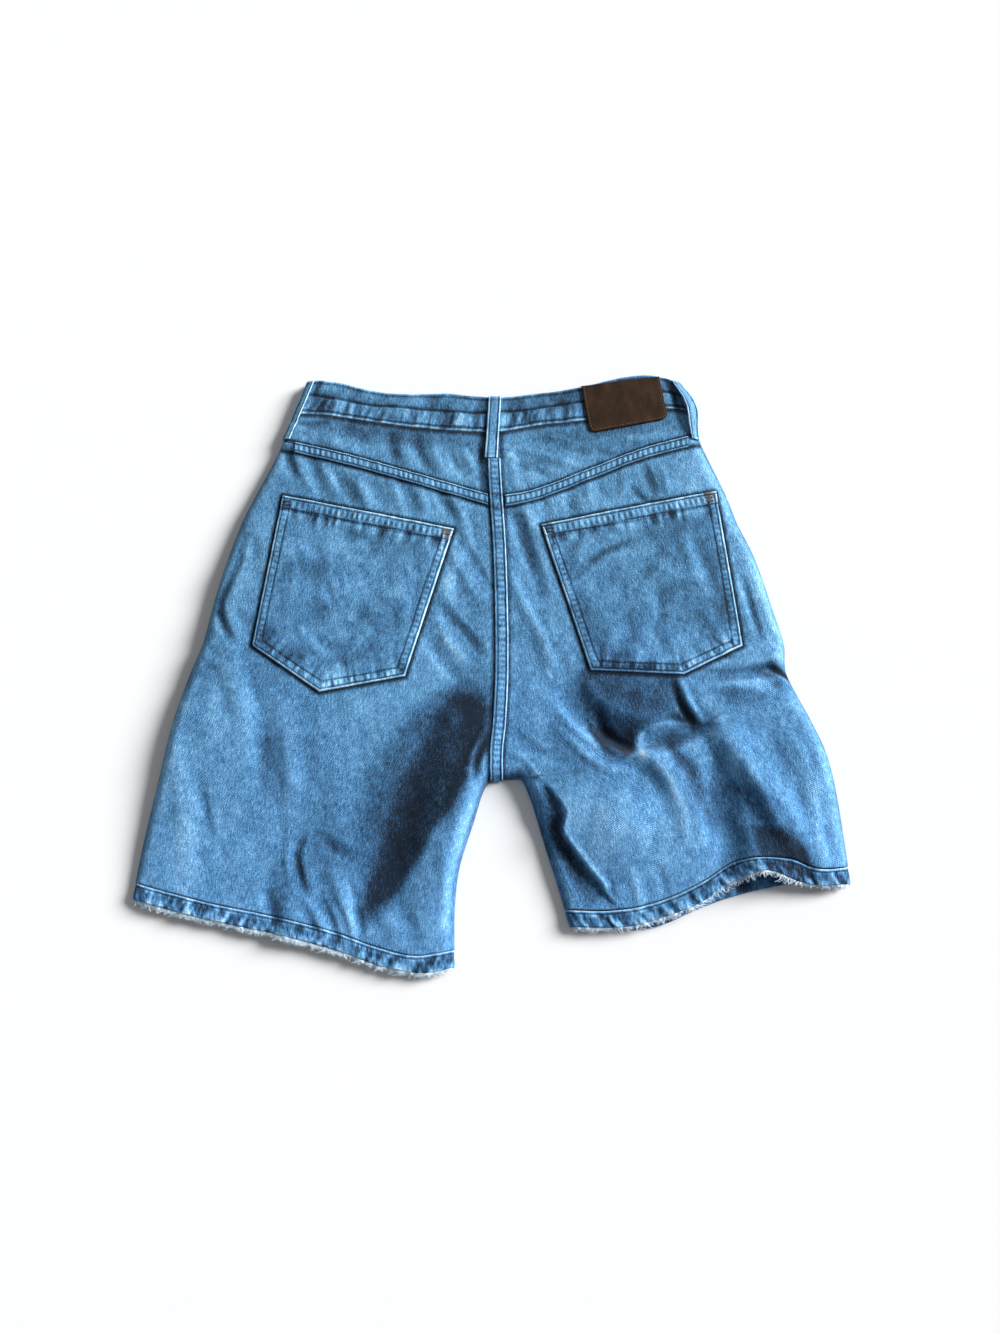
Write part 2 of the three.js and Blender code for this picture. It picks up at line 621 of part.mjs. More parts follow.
function waistbandBack() {
  const length = waistSeam.getLength();
  const turnShare = FOLD_RADIUS / length;
  const turn = (w, atStart) => TURN_ANGLES.map((angle) => {
    const inwards = (FOLD_RADIUS * (1 - Math.cos(angle))) / length;
    const point = bandFrontPoint(atStart ? inwards : 1 - inwards, w);
    const middle = bandFrontPoint(atStart ? turnShare : 1 - turnShare, w);
    return {
      outer: new THREE.Vector3(point.x, point.y, bandFoot - FOLD_RADIUS * Math.sin(angle)),
      inner: new THREE.Vector3(
        mix(middle.x, point.x, INNER_TURN), mix(middle.y, point.y, INNER_TURN),
        bandFoot - (FOLD_RADIUS - BAND) * Math.sin(angle),
      ),
    };
  });
  return bandStrip((w) => {
    const over = closeAtEdges(length, BAND_COLUMNS).map((share) => {
      const point = bandPoint(share, w);
      return { outer: onBack(point, 0, bandFoot), inner: onBack(point, -BAND, bandFoot) };
    });
    return [...turn(w, true).reverse(), ...over, ...turn(w, false)];
  });
}

// The two ends start where the arch has turned under
const endShare = () => (FOLD_RADIUS + GAP) / waistSeam.getLength();
const lapShare = () => BAND_OVERLAP / waistSeam.getLength();

function waistbandFrontLeft() {
  const shares = even(9, WAIST_CENTRE_SHARE + lapShare(), endShare());
  return bandStrip((w) => shares.map((share) => bandFlat(share, w, 0)));
}

// This end rises over the other one
function waistbandFrontRight() {
  const [centre, lap] = [WAIST_CENTRE_SHARE, lapShare()];
  const lift = (share) => (BAND + GAP) * smooth((centre + LAP.start * lap - share) / (LAP.ramp * lap));
  const shares = [
    ...even(6, 1 - endShare(), centre + LAP.start * lap),
    ...even(9, centre + LAP.level * lap, centre - lap),
  ];
  return bandStrip((w) => shares.map((share) => bandFlat(share, w, lift(share))));
}

function withButtonHole(strip) {
  const at = waistButtonPlace();
  const depth = BAND + 1;
  const hole = new THREE.CylinderGeometry(WAIST_BUTTON.holeRadius, WAIST_BUTTON.holeRadius, depth, 20);
  hole.rotateX(Math.PI / 2).translate(at.x, at.y, FRONT_LIFT + BAND + GAP / 2 - depth / 2);
  return cut(strip, hole);
}

const waistButtonPlace = () => bandFrontPoint(shareOfX(waistSeam, WAIST_BUTTON.x), 0.5);

// Sewn-on trim of the back: a strip or plate made from the back's points, moved out

function laid(points, thick, gap = LAID_GAP) {
  const depth = typeof thick === 'function' ? thick : () => thick;
  const rows = points.map((row, r) => row.map((point, c) => ({ point, out: gap + depth(r, c) })));
  return layer(
    rows.map((row) => row.map(({ point, out }) => onBack(point, out))),
    points.map((row) => row.map((point) => onBack(point, gap))),
  );
}

function seatSeam() {
  const from = shareAtY(centreBack, CENTRE_LOOP.bottomY - 1);
  const yokePoint = shareAtY(centreBack, yokeSeam.left.getPointAt(1).y);
  const onPanels = seatShares(SEAT_ROWS).slice(0, -1).map((share) => mix(yokePoint, 1, share));
  const shares = [...even(4, from, yokePoint).slice(0, -1), ...onPanels];
  const offsets = [-1, -0.5, 0, 0.5, 1].map((k) => k * SEAM_STRIP.seatHalf);
  const points = shares.map((share) => {
    const middle = centreBack.getPointAt(share);
    return offsets.map((dx) => ({ x: middle.x + dx, y: middle.y }));
  });
  return laid(points, SEAM_STRIP.thick);
}

function yokeSeamStrip(side) {
  const curve = yokeSeam[side];
  const length = curve.getLength();
  const shares = even(18, SEAM_STRIP.yokeStart / length, 1 - SEAM_STRIP.yokeEnd / length);
  const ordered = side === 'left' ? shares : [...shares].reverse();
  const rows = [1, 0, -1].map((k) => ordered.map((share) => {
    const point = curve.getPointAt(share);
    return { x: point.x, y: point.y + k * SEAM_STRIP.yokeHalf - SEAM_STRIP.yokeOffset };
  }));
  return laid(rows, SEAM_STRIP.thick);
}

function backPocket(row) {
  const corner = (name) => ({ x: row[`${name}X`], y: row[`${name}Y`] });
  const between = (a, b, t) => ({ x: mix(a.x, b.x, t), y: mix(a.y, b.y, t) });
  const [inside, outside, lowIn, lowOut, tip] = ['inside', 'outside', 'lowIn', 'lowOut', 'tip'].map(corner);
  const start = row.side === 'left' ? [outside, lowOut] : [inside, lowIn];
  const end = row.side === 'left' ? [inside, lowIn] : [outside, lowOut];
  const tipShare = (tip.x - start[1].x) / (end[1].x - start[1].x);
  const base = between(start[1], end[1], tipShare);
  const drop = { x: tip.x - base.x, y: tip.y - base.y };
  const columns = [...even(7, 0, tipShare), ...even(7, tipShare, 1).slice(1)];
  const rowShares = [0, POCKET.hemDepth, POCKET.hemDepth + 0.01, ...even(10, 0.2, 1)];
  const points = rowShares.map((v) => columns.map((u) => {
    const tent = v * Math.min(u / tipShare, (1 - u) / (1 - tipShare));
    const point = between(between(start[0], start[1], v), between(end[0], end[1], v), u);
    return { x: point.x + drop.x * tent, y: point.y + drop.y * tent };
  }));
  return laid(points, (r) => (r < 2 ? POCKET.hemThick : POCKET.thick));
}

// The patch is cut straight at the top and rounded at its two lower corners
function patch() {
  const [a, b, c, d] = PATCH_CORNERS;
  const width = Math.hypot(b.x - a.x, b.y - a.y);
  const height = Math.hypot(d.x - a.x, d.y - a.y);
  const straight = 1 - PATCH.corner / height;
  const inset = (v) => {
    const t = clamp((v - straight) / (1 - straight));
    return (PATCH.corner / width) * (1 - Math.sqrt(1 - t * t));
  };
  const rows = [...even(5, 0, straight), ...[0.5, 0.87, 1].map((t) => mix(straight, 1, t))];
  const points = rows.map((v) => even(10, inset(v), 1 - inset(v)).map((u) => ({
    x: mix(mix(a.x, b.x, u), mix(d.x, c.x, u), v),
    y: mix(mix(a.y, b.y, u), mix(d.y, c.y, u), v),
  })));
  return laid(points, PATCH.thick);
}

// Belt loops: a strip tacked at both ends

function centreLoop() {
  const { topX, topY, bottomX, bottomY } = CENTRE_LOOP;
  const points = even(10).map((v) => even(3, -0.5, 0.5).map((k) => ({
    x: mix(topX, bottomX, v) + k * LOOP.width,
    y: mix(topY, bottomY, v),
  })));
  return laid(points, LOOP.thick);
}

// A side loop follows the rolled edge; the right one stands off its waistband in the middle
function sideLoop(side, standOff) {
  const curve = outseam[side];
  const [top, bottom] = [shareAtY(curve, SIDE_LOOP.topY), shareAtY(curve, SIDE_LOOP.bottomY)];
  const shares = even(12, top, bottom);
  const steps = side === 'left' ? SIDE_LOOP.inwards : [...SIDE_LOOP.inwards].reverse();
  const points = shares.map((share) => {
    const edge = curve.getPointAt(share);
    return steps.map((step) => ({ x: edge.x - SIDES[side] * step, y: edge.y }));
  });
  const lift = (r) => LAID_GAP + standOff * Math.sin((Math.PI * r) / (shares.length - 1)) ** 1.5;
  const face = (extra) =>
    points.map((row, r) => row.map((point) => onBack(point, lift(r) + extra, bandFoot)));
  return layer(face(LOOP.thick), face(0));
}

function frontLoop(side) {
  const share = shareOfX(waistSeam, SIDES[side] * FRONT_LOOP.x);
  const top = bandFrontPoint(share, 0);
  const bottom = bandFrontPoint(share, 1);
  const strip = (z) => even(3).map((v) => even(3, -0.5, 0.5).map((k) => new THREE.Vector3(
    mix(top.x, bottom.x, v) + k * LOOP.width,
    mix(top.y, bottom.y - FRONT_LOOP.below, v),
    z,
  )));
  return layer(strip(FRONT_LOOP.thick), strip(0));
}

// Fly: a facing behind the left front and a shield behind it, buttoned together out of sight

const flyTop = () => frontWaistY(centreBack.getPointAt(0).x) - 1;

function flyLayer(xAt, levelAt) {
  const place = (extra) => even(10).map((v) => even(10).map((u) => {
    const y = flyTop() - v * FLY.length;
    const x = xAt(u, v);
    return onFront({ x, y }, levelAt(x) + extra);
  }));
  return layer(place(CLOTH), place(0));
}

const centreX = () => centreBack.getPointAt(0).x;
const flyWidth = (v) => {
  const drawnIn = FLY.curve * smooth((v - FLY.curveFrom) / (1 - FLY.curveFrom));
  return FLY.width * Math.sqrt(1 - drawnIn ** 2);
};
const facingLevel = (x) => CLOTH + GAP + FLY.rise * smooth((x - centreX() + FLY.width) / FLY.tuck);
const shieldLevel = (x) => {
  const over = CLOTH + GAP + FLY.rise + CLOTH + GAP;
  return mix(CLOTH + GAP, over, smooth((centreX() + FLY.tuck - x) / (FLY.tuck - FLY.clear)));
};

function flyFacing() {
  const body = flyLayer((u, v) => centreX() - GAP - flyWidth(v) * (1 - u), facingLevel);
  return cut(body, ...FLY_BUTTON_DROPS.map((drop) => {
    const y = flyTop() - drop;
    const hole = new THREE.CylinderGeometry(FLY_BUTTON.holeRadius, FLY_BUTTON.holeRadius, 6, 16);
    const level = frontLift(FLY_BUTTON.x, y) + facingLevel(FLY_BUTTON.x);
    return hole.rotateX(Math.PI / 2).translate(FLY_BUTTON.x, y, level);
  }));
}

const flyShield = () => flyLayer(
  (u, v) => mix(centreX() - flyWidth(v) + SHIELD.inset + SHIELD.taper * v, centreX() + FLY.tuck, u),
  shieldLevel,
);

// A button with its head down and its shank up through the buttonhole, turned about Z
function button({ headRadius, headThick, shankRadius }, height, segments) {
  const rim = 0.4;
  const profile = [
    [0, 0], [headRadius - rim, 0], [headRadius, rim], [headRadius, headThick], [shankRadius, headThick],
    [shankRadius, height], [0, height],
  ].map(([r, z]) => new THREE.Vector2(r, z));
  return new THREE.LatheGeometry(profile, segments).rotateX(Math.PI / 2);
}

function waistButton() {
  const at = waistButtonPlace();
  return button(WAIST_BUTTON, FRONT_LIFT + BAND, 28).translate(at.x, at.y, 0);
}

function flyButton(drop) {
  const y = flyTop() - drop;
  const foot = frontLift(FLY_BUTTON.x, y) + CLOTH + 2 * GAP;
  const height = facingLevel(FLY_BUTTON.x) - (CLOTH + 2 * GAP) + CLOTH;
  return button(FLY_BUTTON, height, 18).translate(FLY_BUTTON.x, y, foot);
}

// Assembly

const shorts = new THREE.Group();
function add(name, geometry, material) {
  const mesh = new THREE.Mesh(geometry, material);
  mesh.name = name;
  shorts.add(mesh);
}

add('waistband_back', waistbandBack(), DENIM());
add('waistband_front_left', withButtonHole(waistbandFrontLeft()), DENIM());
add('waistband_front_right', waistbandFrontRight(), DENIM());
for (const side of Object.keys(SIDES)) {
  add(`back_yoke_${side}`, yoke(side), DENIM());
  add(`back_leg_${side}`, backLeg(side), DENIM());
  add(`front_leg_${side}`, frontLeg(side), DENIM());
  add(`hip_facing_${side}`, hipFacing(side), DENIM_DARK());
  add(`hem_${side}`, hem(side), DENIM());
  add(`yoke_seam_${side}`, yokeSeamStrip(side), DENIM_DARK());
  add(`belt_loop_side_${side}`, sideLoop(side, side === 'right' ? LOOP.standOff : 0), DENIM());
  add(`belt_loop_front_${side}`, frontLoop(side), DENIM());
}
for (const row of BACK_POCKETS) add(`back_pocket_${row.side}`, backPocket(row), DENIM());
add('seat_seam', seatSeam(), DENIM_DARK());
add('belt_loop_center_back', centreLoop(), DENIM());
add('leather_patch', patch(), LEATHER());
add('fly_facing', flyFacing(), DENIM_DARK());
add('fly_shield', flyShield(), DENIM_DARK());
add('waist_button', waistButton(), METAL());
FLY_BUTTON_DROPS.forEach((drop, i) => add(`fly_button_${i + 1}`, flyButton(drop), METAL()));

export default shorts;
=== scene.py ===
# %% [markdown]
# # Denim shorts, laid flat
# The shorts lie on their front, back side up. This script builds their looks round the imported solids:
# thin cloth with creases and puckers, felled seams, thousands of stitches, frayed hems, a leather patch,
# and the light and camera of the photograph. All lengths are in millimetres until a mesh is made.

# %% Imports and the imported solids
import json
import math

import bpy
import numpy as np
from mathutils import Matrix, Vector

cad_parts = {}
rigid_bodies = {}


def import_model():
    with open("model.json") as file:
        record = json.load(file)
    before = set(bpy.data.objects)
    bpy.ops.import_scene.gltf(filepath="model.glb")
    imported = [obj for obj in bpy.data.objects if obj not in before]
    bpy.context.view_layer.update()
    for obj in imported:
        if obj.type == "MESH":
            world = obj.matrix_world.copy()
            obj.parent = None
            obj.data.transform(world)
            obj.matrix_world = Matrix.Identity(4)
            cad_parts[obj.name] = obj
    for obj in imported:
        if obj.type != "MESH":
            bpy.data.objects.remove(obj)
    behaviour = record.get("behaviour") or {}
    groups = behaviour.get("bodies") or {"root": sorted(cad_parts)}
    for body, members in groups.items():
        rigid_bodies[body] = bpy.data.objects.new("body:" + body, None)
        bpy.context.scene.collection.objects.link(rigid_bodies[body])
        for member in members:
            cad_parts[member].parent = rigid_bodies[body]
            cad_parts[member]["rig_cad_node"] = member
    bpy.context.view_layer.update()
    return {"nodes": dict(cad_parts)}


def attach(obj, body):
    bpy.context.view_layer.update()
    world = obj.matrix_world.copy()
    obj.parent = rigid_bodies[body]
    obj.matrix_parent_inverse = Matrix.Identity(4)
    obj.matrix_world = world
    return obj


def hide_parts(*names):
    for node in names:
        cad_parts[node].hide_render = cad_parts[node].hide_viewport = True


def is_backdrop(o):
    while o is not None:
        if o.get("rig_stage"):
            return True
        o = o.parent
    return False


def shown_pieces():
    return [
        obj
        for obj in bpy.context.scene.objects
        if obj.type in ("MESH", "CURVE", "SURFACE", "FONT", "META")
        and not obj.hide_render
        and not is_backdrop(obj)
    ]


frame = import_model()
MM = 0.001
print("nodes:", len(frame["nodes"]))

# %% [markdown]
# ## Sizes and outlines
# The outlines repeat the solids' own, so that each piece of cloth lies on its solid. X runs from the left
# side seam to the right one and Y from the hems to the waistband.

# %% Sizes and outlines
CLOTH = 1.1
SOLID_CLOTH = 1.5
BAND = 3.0
GAP = 0.3
LAID_GAP = 0.6
SEAM_GAP = 0.5
HEM_WIDTH = 15.0
TURN_RADIUS = 3.1
FRONT_LIFT, LIFT_FLAT, LIFT_END, FRONT_DIP = 1.9, 24.0, 90.0, 12.0
ROLL_LEAST, ROLL_MOST, ROLL_SHARE, CROWN_REACH = 7.0, 13.0, 0.74, 45.0
EDGE_TOLERANCE = 0.12
BAND_FOOT = FRONT_LIFT + TURN_RADIUS

OUTSEAM = {
    "left": [(-183, 291), (-197, 252), (-216, 203), (-246, 137), (-268, 62), (-278, 16), (-289, -14),
             (-302, -57), (-315, -124), (-326, -183), (-332, -225)],
    "right": [(184, 291), (197, 258), (204, 226), (229, 168), (240, 137), (254, 106), (272, 46), (280, 16),
              (281, -11), (302, -57), (314, -85), (321, -114), (328, -170), (332, -211)],
}
INSEAM = {
    "left": [(3.75, -115), (-4, -118), (-18, -157), (-30, -196), (-34, -230), (-34, -286)],
    "right": [(4.25, -115), (15, -113), (26, -113), (34, -128), (51, -183), (60, -211), (71, -250)],
}
CENTRE_BACK = [(2, 230), (2, 194), (4, 157), (7, 109), (9, 40), (9, -20), (7, -60), (4, -90), (4, -115)]
WAIST_TOP = [(-183, 286), (-152, 282), (-122, 274), (-92, 270), (-47, 270), (2, 266), (42, 270), (72, 274),
             (102, 281), (132, 288), (152, 290.5), (168, 288), (184, 284)]
WAIST_SEAM = [(-198, 249), (-168, 248), (-127, 241), (-85, 235), (-44, 231), (2, 229), (39, 235), (89, 241),
              (140, 249), (176, 254), (199, 252)]
YOKE_SEAM = {
    "left": [(-207, 220), (-139, 202), (-98, 190), (-57, 177), (4, 158)],
    "right": [(205, 226), (150, 210), (94, 187), (39, 165), (4, 158)],
}
HEM_BACK = {
    "left": [(-332, -225), (-263, -243), (-194, -257), (-138, -272), (-97, -286), (-63, -291), (-34, -286)],
    "right": [(71, -250), (121, -250), (145, -245), (192, -228), (218, -211), (244, -200), (257, -200),
              (275, -207), (298, -213), (332, -211)],
}
HEM_FRONT = {
    "left": [(-332, -225), (-263, -241), (-194, -255), (-138, -269), (-97, -282), (-63, -288), (-34, -286)],
    "right": [(71, -250), (122, -252), (150, -250), (192, -233), (220, -223), (276, -211), (332, -211)],
}
POCKETS = {
    "left": {"inside": (-37, 127), "outside": (-204, 162),
             "low_in": (-82, -19), "low_out": (-227, 11), "tip": (-162, -34)},
    "right": {"inside": (47, 131), "outside": (218, 167),
              "low_in": (93, -13), "low_out": (237, 11), "tip": (180, -17)},
}
PATCH_CORNERS = [(88, 277), (166, 288), (174, 243), (96, 227)]
SIDE = {"left": -1.0, "right": 1.0}

# %% [markdown]
# ## Folds and creases
# Each row is a ridge (positive) or a trough (negative): its half widths left and right of its line, its
# height at the start, middle and end, and the points that its line runs through. LARGE_FOLDS are the ones
# that the solids have too. CREASES are the smaller ones, and they were placed one by one.

# %% Folds and creases
# y, and the height of the left and of the right half there
PLATEAU = np.array([
    (-300, 11.5, 12), (-230, 12, 13.5), (-180, 16, 18), (-110, 22, 22), (-40, 24, 23), (60, 23, 23),
    (157, 19, 19), (230, 15, 15), (300, 14.5, 14.5),
])
# x0, y0, x1, y1, bow, left, right, start, middle, end
LARGE_FOLDS = [
    (-6, -50, -56, -262, 0, 26, 52, 0, 14, 2), (-222, -40, -205, -130, 4, 20, 22, -1, -3, -1),
    (-250, 20, -222, -70, -4, 16, 18, 1, 3, 1), (-178, -215, -186, -258, 0, 24, 24, 0, 2.5, 3),
    (62, -26, 198, -64, -34, 27, 15, -3, -12, -4), (92, -146, 150, -166, 0, 54, 54, 5, 9, 5),
    (138, -82, 190, -170, 14, 15, 20, 2, 6, 3), (196, -40, 304, -202, 0, 26, 22, 1, 9, 4),
    (206, -96, 226, -214, 0, 20, 24, -2, -7, -3), (251, -140, 250, -212, 0, 46, 50, 2, 9, 16),
    (284, -10, 186, -24, -2, 11, 10, -9, -6, 0),
]
# left, right, start, middle, end, points
CREASES = {
    "left yoke": [
        (5, 5, -1.2, -1.8, -1, [(-197, 240), (-180, 238), (-163, 240)]),
        (9, 8, -.5, -1.6, -.5, [(-100, 224), (-98, 205), (-92, 192)]),
        (8, 9, .4, 1.3, .4, [(-86, 228), (-84, 210), (-78, 190)]),
        (7, 8, -.4, -1.4, -.4, [(-74, 222), (-70, 205), (-60, 186)]),
        (7, 7, .3, 1.2, .3, [(-58, 225), (-55, 205), (-44, 180)]),
        (6, 6, -.3, -1.2, -.4, [(-44, 220), (-40, 204), (-28, 182)]),
        (6, 7, .3, 1.4, .6, [(-30, 216), (-24, 200), (-14, 186)]),
        (7, 5, -1.2, -2.2, -1.6, [(-11, 226), (-12, 200), (-9, 166)]),
        (3, 3, .3, .8, .3, [(-26, 196), (-12, 204)]), (3, 3, .3, .8, .3, [(-28, 188), (-12, 194)]),
        (3, 3, .3, .8, .3, [(-26, 180), (-12, 184)]), (3, 3, .2, .6, .2, [(-22, 172), (-12, 175)]),
        (10, 12, .3, 1, .3, [(-170, 230), (-150, 215), (-135, 208)]),
        (10, 10, -.3, -.9, -.3, [(-150, 236), (-130, 220), (-112, 205)]),
    ],
    "left seat": [
        (7, 9, -1.6, -2.5, -1, [(-202, 212), (-200, 200), (-194, 186)]),
        (8, 8, .5, 1.5, .5, [(-190, 208), (-186, 190), (-178, 168)]),
        (7, 7, -.4, -1.3, -.4, [(-178, 202), (-172, 185), (-168, 165)]),
        (8, 9, .5, 1.6, .5, [(-168, 198), (-158, 180), (-150, 160)]),
        (9, 9, -.5, -1.8, -.5, [(-156, 190), (-142, 172), (-130, 150)]),
        (7, 8, .4, 1.5, .4, [(-134, 184), (-124, 165), (-117, 146)]),
        (8, 8, -.4, -1.4, -.3, [(-118, 178), (-108, 160), (-102, 142)]),
        (7, 8, .3, 1.3, .3, [(-100, 182), (-94, 165), (-88, 145)]),
        (8, 8, -.3, -1.3, -.3, [(-88, 176), (-80, 160), (-76, 142)]),
        (7, 8, .3, 1.2, .3, [(-72, 172), (-66, 155), (-62, 140)]),
        (9, 8, -.6, -2.2, -.5, [(-52, 168), (-46, 154), (-36, 138)]),
        (8, 9, .4, 1.6, .4, [(-34, 156), (-26, 130), (-22, 108)]),
        (7, 7, -.5, -2, -1, [(-30, 116), (-18, 96), (-6, 74)]),
        (8, 8, .5, 1.8, .5, [(-40, 104), (-28, 84), (-12, 58)]),
        (8, 7, -.4, -1.8, -.8, [(-50, 58), (-40, 40), (-22, 20), (-8, 2)]),
        (9, 9, .6, 2.2, .6, [(-56, 44), (-44, 20), (-24, -4)]),
        (10, 9, -.5, -1.8, -.6, [(-66, 26), (-50, 0), (-28, -24)]),
        (9, 9, .4, 1.4, .6, [(-24, 110), (-40, 80), (-44, 56)]),
    ],
    "left side": [
        (6, 7, -1.2, -3.2, -1, [(-240, 122), (-243, 98), (-254, 70), (-260, 52), (-258, 36), (-249, 20)]),
        (9, 9, .5, 2, .5, [(-256, 104), (-258, 85), (-268, 62)]),
        (9, 9, .5, 2, .5, [(-246, 64), (-250, 48), (-244, 30), (-236, 16)]),
        (5, 6, -.5, -1.6, -.3, [(-274, 62), (-272, 50), (-262, 38)]),
        (6, 6, -.5, -2, -.5, [(-290, 2), (-282, 14), (-266, 22)]),
        (8, 8, .3, 1.4, .3, [(-288, 22), (-272, 4), (-252, -10)]),
        (7, 7, -.4, -1.3, -.2, [(-298, -30), (-284, -18), (-268, -14)]),
        (10, 10, -.4, -1.2, -.4, [(-236, 128), (-228, 100), (-226, 70)]),
    ],
    "left pocket": [
        (6, 6, -.2, -.9, -.2, [(-158, 74), (-154, 58), (-150, 44)]),
        (7, 7, -.2, -1, -.2, [(-178, 32), (-156, 12), (-132, 14)]),
        (8, 8, .2, 1, .2, [(-176, 20), (-156, 0), (-128, 2)]),
        (9, 9, .2, 1, .2, [(-96, 90), (-84, 50), (-84, 20)]),
        (8, 8, -.2, -.9, -.2, [(-78, 104), (-70, 70), (-78, 30)]),
        (9, 9, -.2, -.8, -.2, [(-186, 120), (-168, 104), (-160, 86)]),
        (7, 7, .2, .8, .2, [(-196, 104), (-188, 70), (-196, 40)]),
    ],
    "crotch": [
        (5, 5, .8, 2.2, 1, [(-4, -66), (-14, -84), (-22, -106)]),
        (4, 4, -.8, -2.6, -1, [(-8, -84), (-14, -98), (-16, -116)]),
        (4, 4, .6, 2, 1, [(-3, -88), (-8, -102), (-6, -117)]),
        (6, 6, .4, 1.6, .6, [(14, -84), (32, -100), (46, -118)]),
        (5, 6, -.4, -1.8, -.6, [(22, -92), (36, -108), (48, -124)]),
        (8, 8, -.3, -1.3, -.3, [(18, -70), (40, -88), (70, -100)]),
    ],
    "left leg": [
        (14, 14, .4, 1.5, .6, [(-300, -70), (-286, -140), (-276, -205)]),
        (7, 8, -.3, -1.4, -.4, [(-270, -112), (-266, -140), (-256, -172)]),
        (12, 12, -.3, -1.3, -.3, [(-216, -70), (-212, -95), (-208, -122)]),
        (14, 14, .3, 1.5, .3, [(-190, -60), (-186, -105), (-180, -160)]),
        (4, 5, -.4, -2.2, -.6, [(-171, -166), (-178, -184), (-176, -200), (-170, -218)]),
        (6, 5, .3, 1.4, .4, [(-186, -172), (-188, -195), (-182, -216)]),
        (9, 8, -.3, -1.3, -.3, [(-156, -168), (-142, -180), (-128, -184)]),
        (8, 9, .4, 1.4, .3, [(-152, -196), (-138, -212), (-124, -232)]),
        (10, 9, -.4, -2, -.6, [(-208, -216), (-202, -234), (-196, -250)]),
        (6, 6, .4, 2, .8, [(-172, -222), (-160, -240), (-150, -262)]),
        (5, 6, -.4, -2.2, -.8, [(-158, -222), (-148, -240), (-138, -266)]),
        (6, 6, .4, 2, .8, [(-146, -212), (-134, -232), (-124, -262)]),
        (6, 7, -.5, -2, -.6, [(-128, -214), (-122, -236), (-117, -262)]),
        (10, 10, .3, 1.5, .6, [(-108, -232), (-92, -246), (-84, -266)]),
        (8, 8, -.3, -1.2, -.3, [(-90, -222), (-76, -240), (-66, -262)]),
        (6, 9, .3, 1, .4, [(-47, -160), (-41, -200), (-40, -250)]),
    ],
    "right yoke and seat": [
        (7, 8, -.3, -1.2, -.3, [(40, 224), (70, 214), (100, 204)]),
        (6, 7, .3, 1.1, .3, [(30, 212), (60, 202), (90, 192)]),
        (6, 6, -.3, -1, -.3, [(20, 196), (44, 188), (64, 178)]),
        (8, 8, .4, 1.3, .3, [(14, 214), (20, 196), (22, 176)]),
        (6, 6, -.3, -1.1, -.3, [(100, 212), (112, 206), (126, 204)]),
        (6, 6, .3, 1, .3, [(120, 226), (144, 222), (168, 228)]),
        (10, 9, -.8, -3, -.8, [(20, 152), (30, 118), (42, 84), (48, 56)]),
        (8, 10, .5, 1.8, .5, [(14, 92), (28, 58), (46, 22), (60, -20), (66, -44)]),
        (8, 7, -.4, -1.5, -.4, [(46, 162), (52, 146), (50, 128)]),
        (8, 9, .3, 1.3, .3, [(32, 150), (40, 132), (52, 112)]),
        (10, 9, -.3, -1.4, -.3, [(74, 172), (78, 152), (80, 140)]),
        (9, 9, .3, 1.3, .3, [(90, 178), (96, 160), (100, 146)]),
        (7, 8, -.4, -1.6, -.4, [(147, 197), (153, 182), (158, 164)]),
        (5, 5, -.4, -1.6, -.4, [(136, 172), (144, 160), (156, 154)]),
        (6, 7, .3, 1.5, .4, [(166, 196), (170, 178), (172, 162)]),
        (8, 8, .3, 1.2, .3, [(128, 196), (130, 176), (126, 156)]),
        (6, 6, -.3, -1.2, -.3, [(104, 180), (106, 168), (112, 158)]),
    ],
    "right pocket": [
        (6, 8, -.5, -2.2, -.4, [(82, 78), (98, 98), (118, 108), (140, 116)]),
        (8, 8, .3, 1.4, .3, [(78, 92), (92, 112), (112, 122)]),
        (9, 9, -.3, -1.4, -.3, [(196, 110), (206, 90), (210, 64)]),
        (8, 8, .3, 1.2, .3, [(182, 124), (190, 100), (196, 72)]),
        (5, 5, -.4, -1.4, -.4, [(205, 20), (216, 12), (230, 14)]),
        (5, 5, .4, 1.2, .4, [(208, 10), (220, 4), (234, 4)]),
        (8, 8, -.2, -1, -.2, [(150, 70), (160, 50), (158, 30)]),
    ],
    "right side": [
        (5, 6, -.5, -2.4, -.5, [(241, 78), (248, 48), (256, 18)]),
        (6, 6, .4, 1.8, .5, [(252, 84), (260, 54), (268, 22)]),
        (4, 5, -.4, -1.5, -.3, [(262, 40), (266, 22), (274, 8)]),
        (5, 5, .3, 1.5, .5, [(272, 30), (276, 14), (282, 4)]),
        (5, 5, -1, -4, -1.5, [(256, -8), (272, -12), (292, -26)]),
        (5, 6, .5, 2.5, 1, [(262, 2), (276, -1), (286, -3)]),
        (4, 5, -.3, -1.2, -.2, [(188, -12), (222, -14), (256, -22)]),
        (5, 6, .3, 1.2, .3, [(196, -24), (230, -26), (262, -32)]),
    ],
    "right leg": [
        (9, 14, .8, 2.4, .6, [(137, -76), (144, -92), (158, -110), (170, -136), (177, -160), (173, -184)]),
        (10, 9, -1.5, -5, -1.5, [(98, -48), (108, -72), (132, -92)]),
        (4, 30, .8, 2.6, .8, [(136, -78), (148, -67), (170, -63), (190, -66)]),
        (6, 12, .8, 3.0, .6, [(176, -20), (184, -42), (196, -62)]),
        (7, 5, -.6, -2.8, -.8, [(170, -24), (178, -48), (192, -66)]),
        (7, 7, .4, 1.6, .4, [(60, -64), (80, -86), (104, -104), (130, -108)]),
        (2.5, 26, -4, -8, -5, [(60, -135), (66, -147), (62, -162), (78, -186), (100, -214)]),
        (8, 3, .5, 2, .8, [(61, -135), (67, -147), (64, -162), (80, -186), (102, -214)]),
        (12, 12, .3, 1.4, .3, [(186, -84), (214, -130), (222, -190)]),
        (12, 14, -.4, -1.3, -.6, [(206, -108), (234, -146), (258, -186)]),
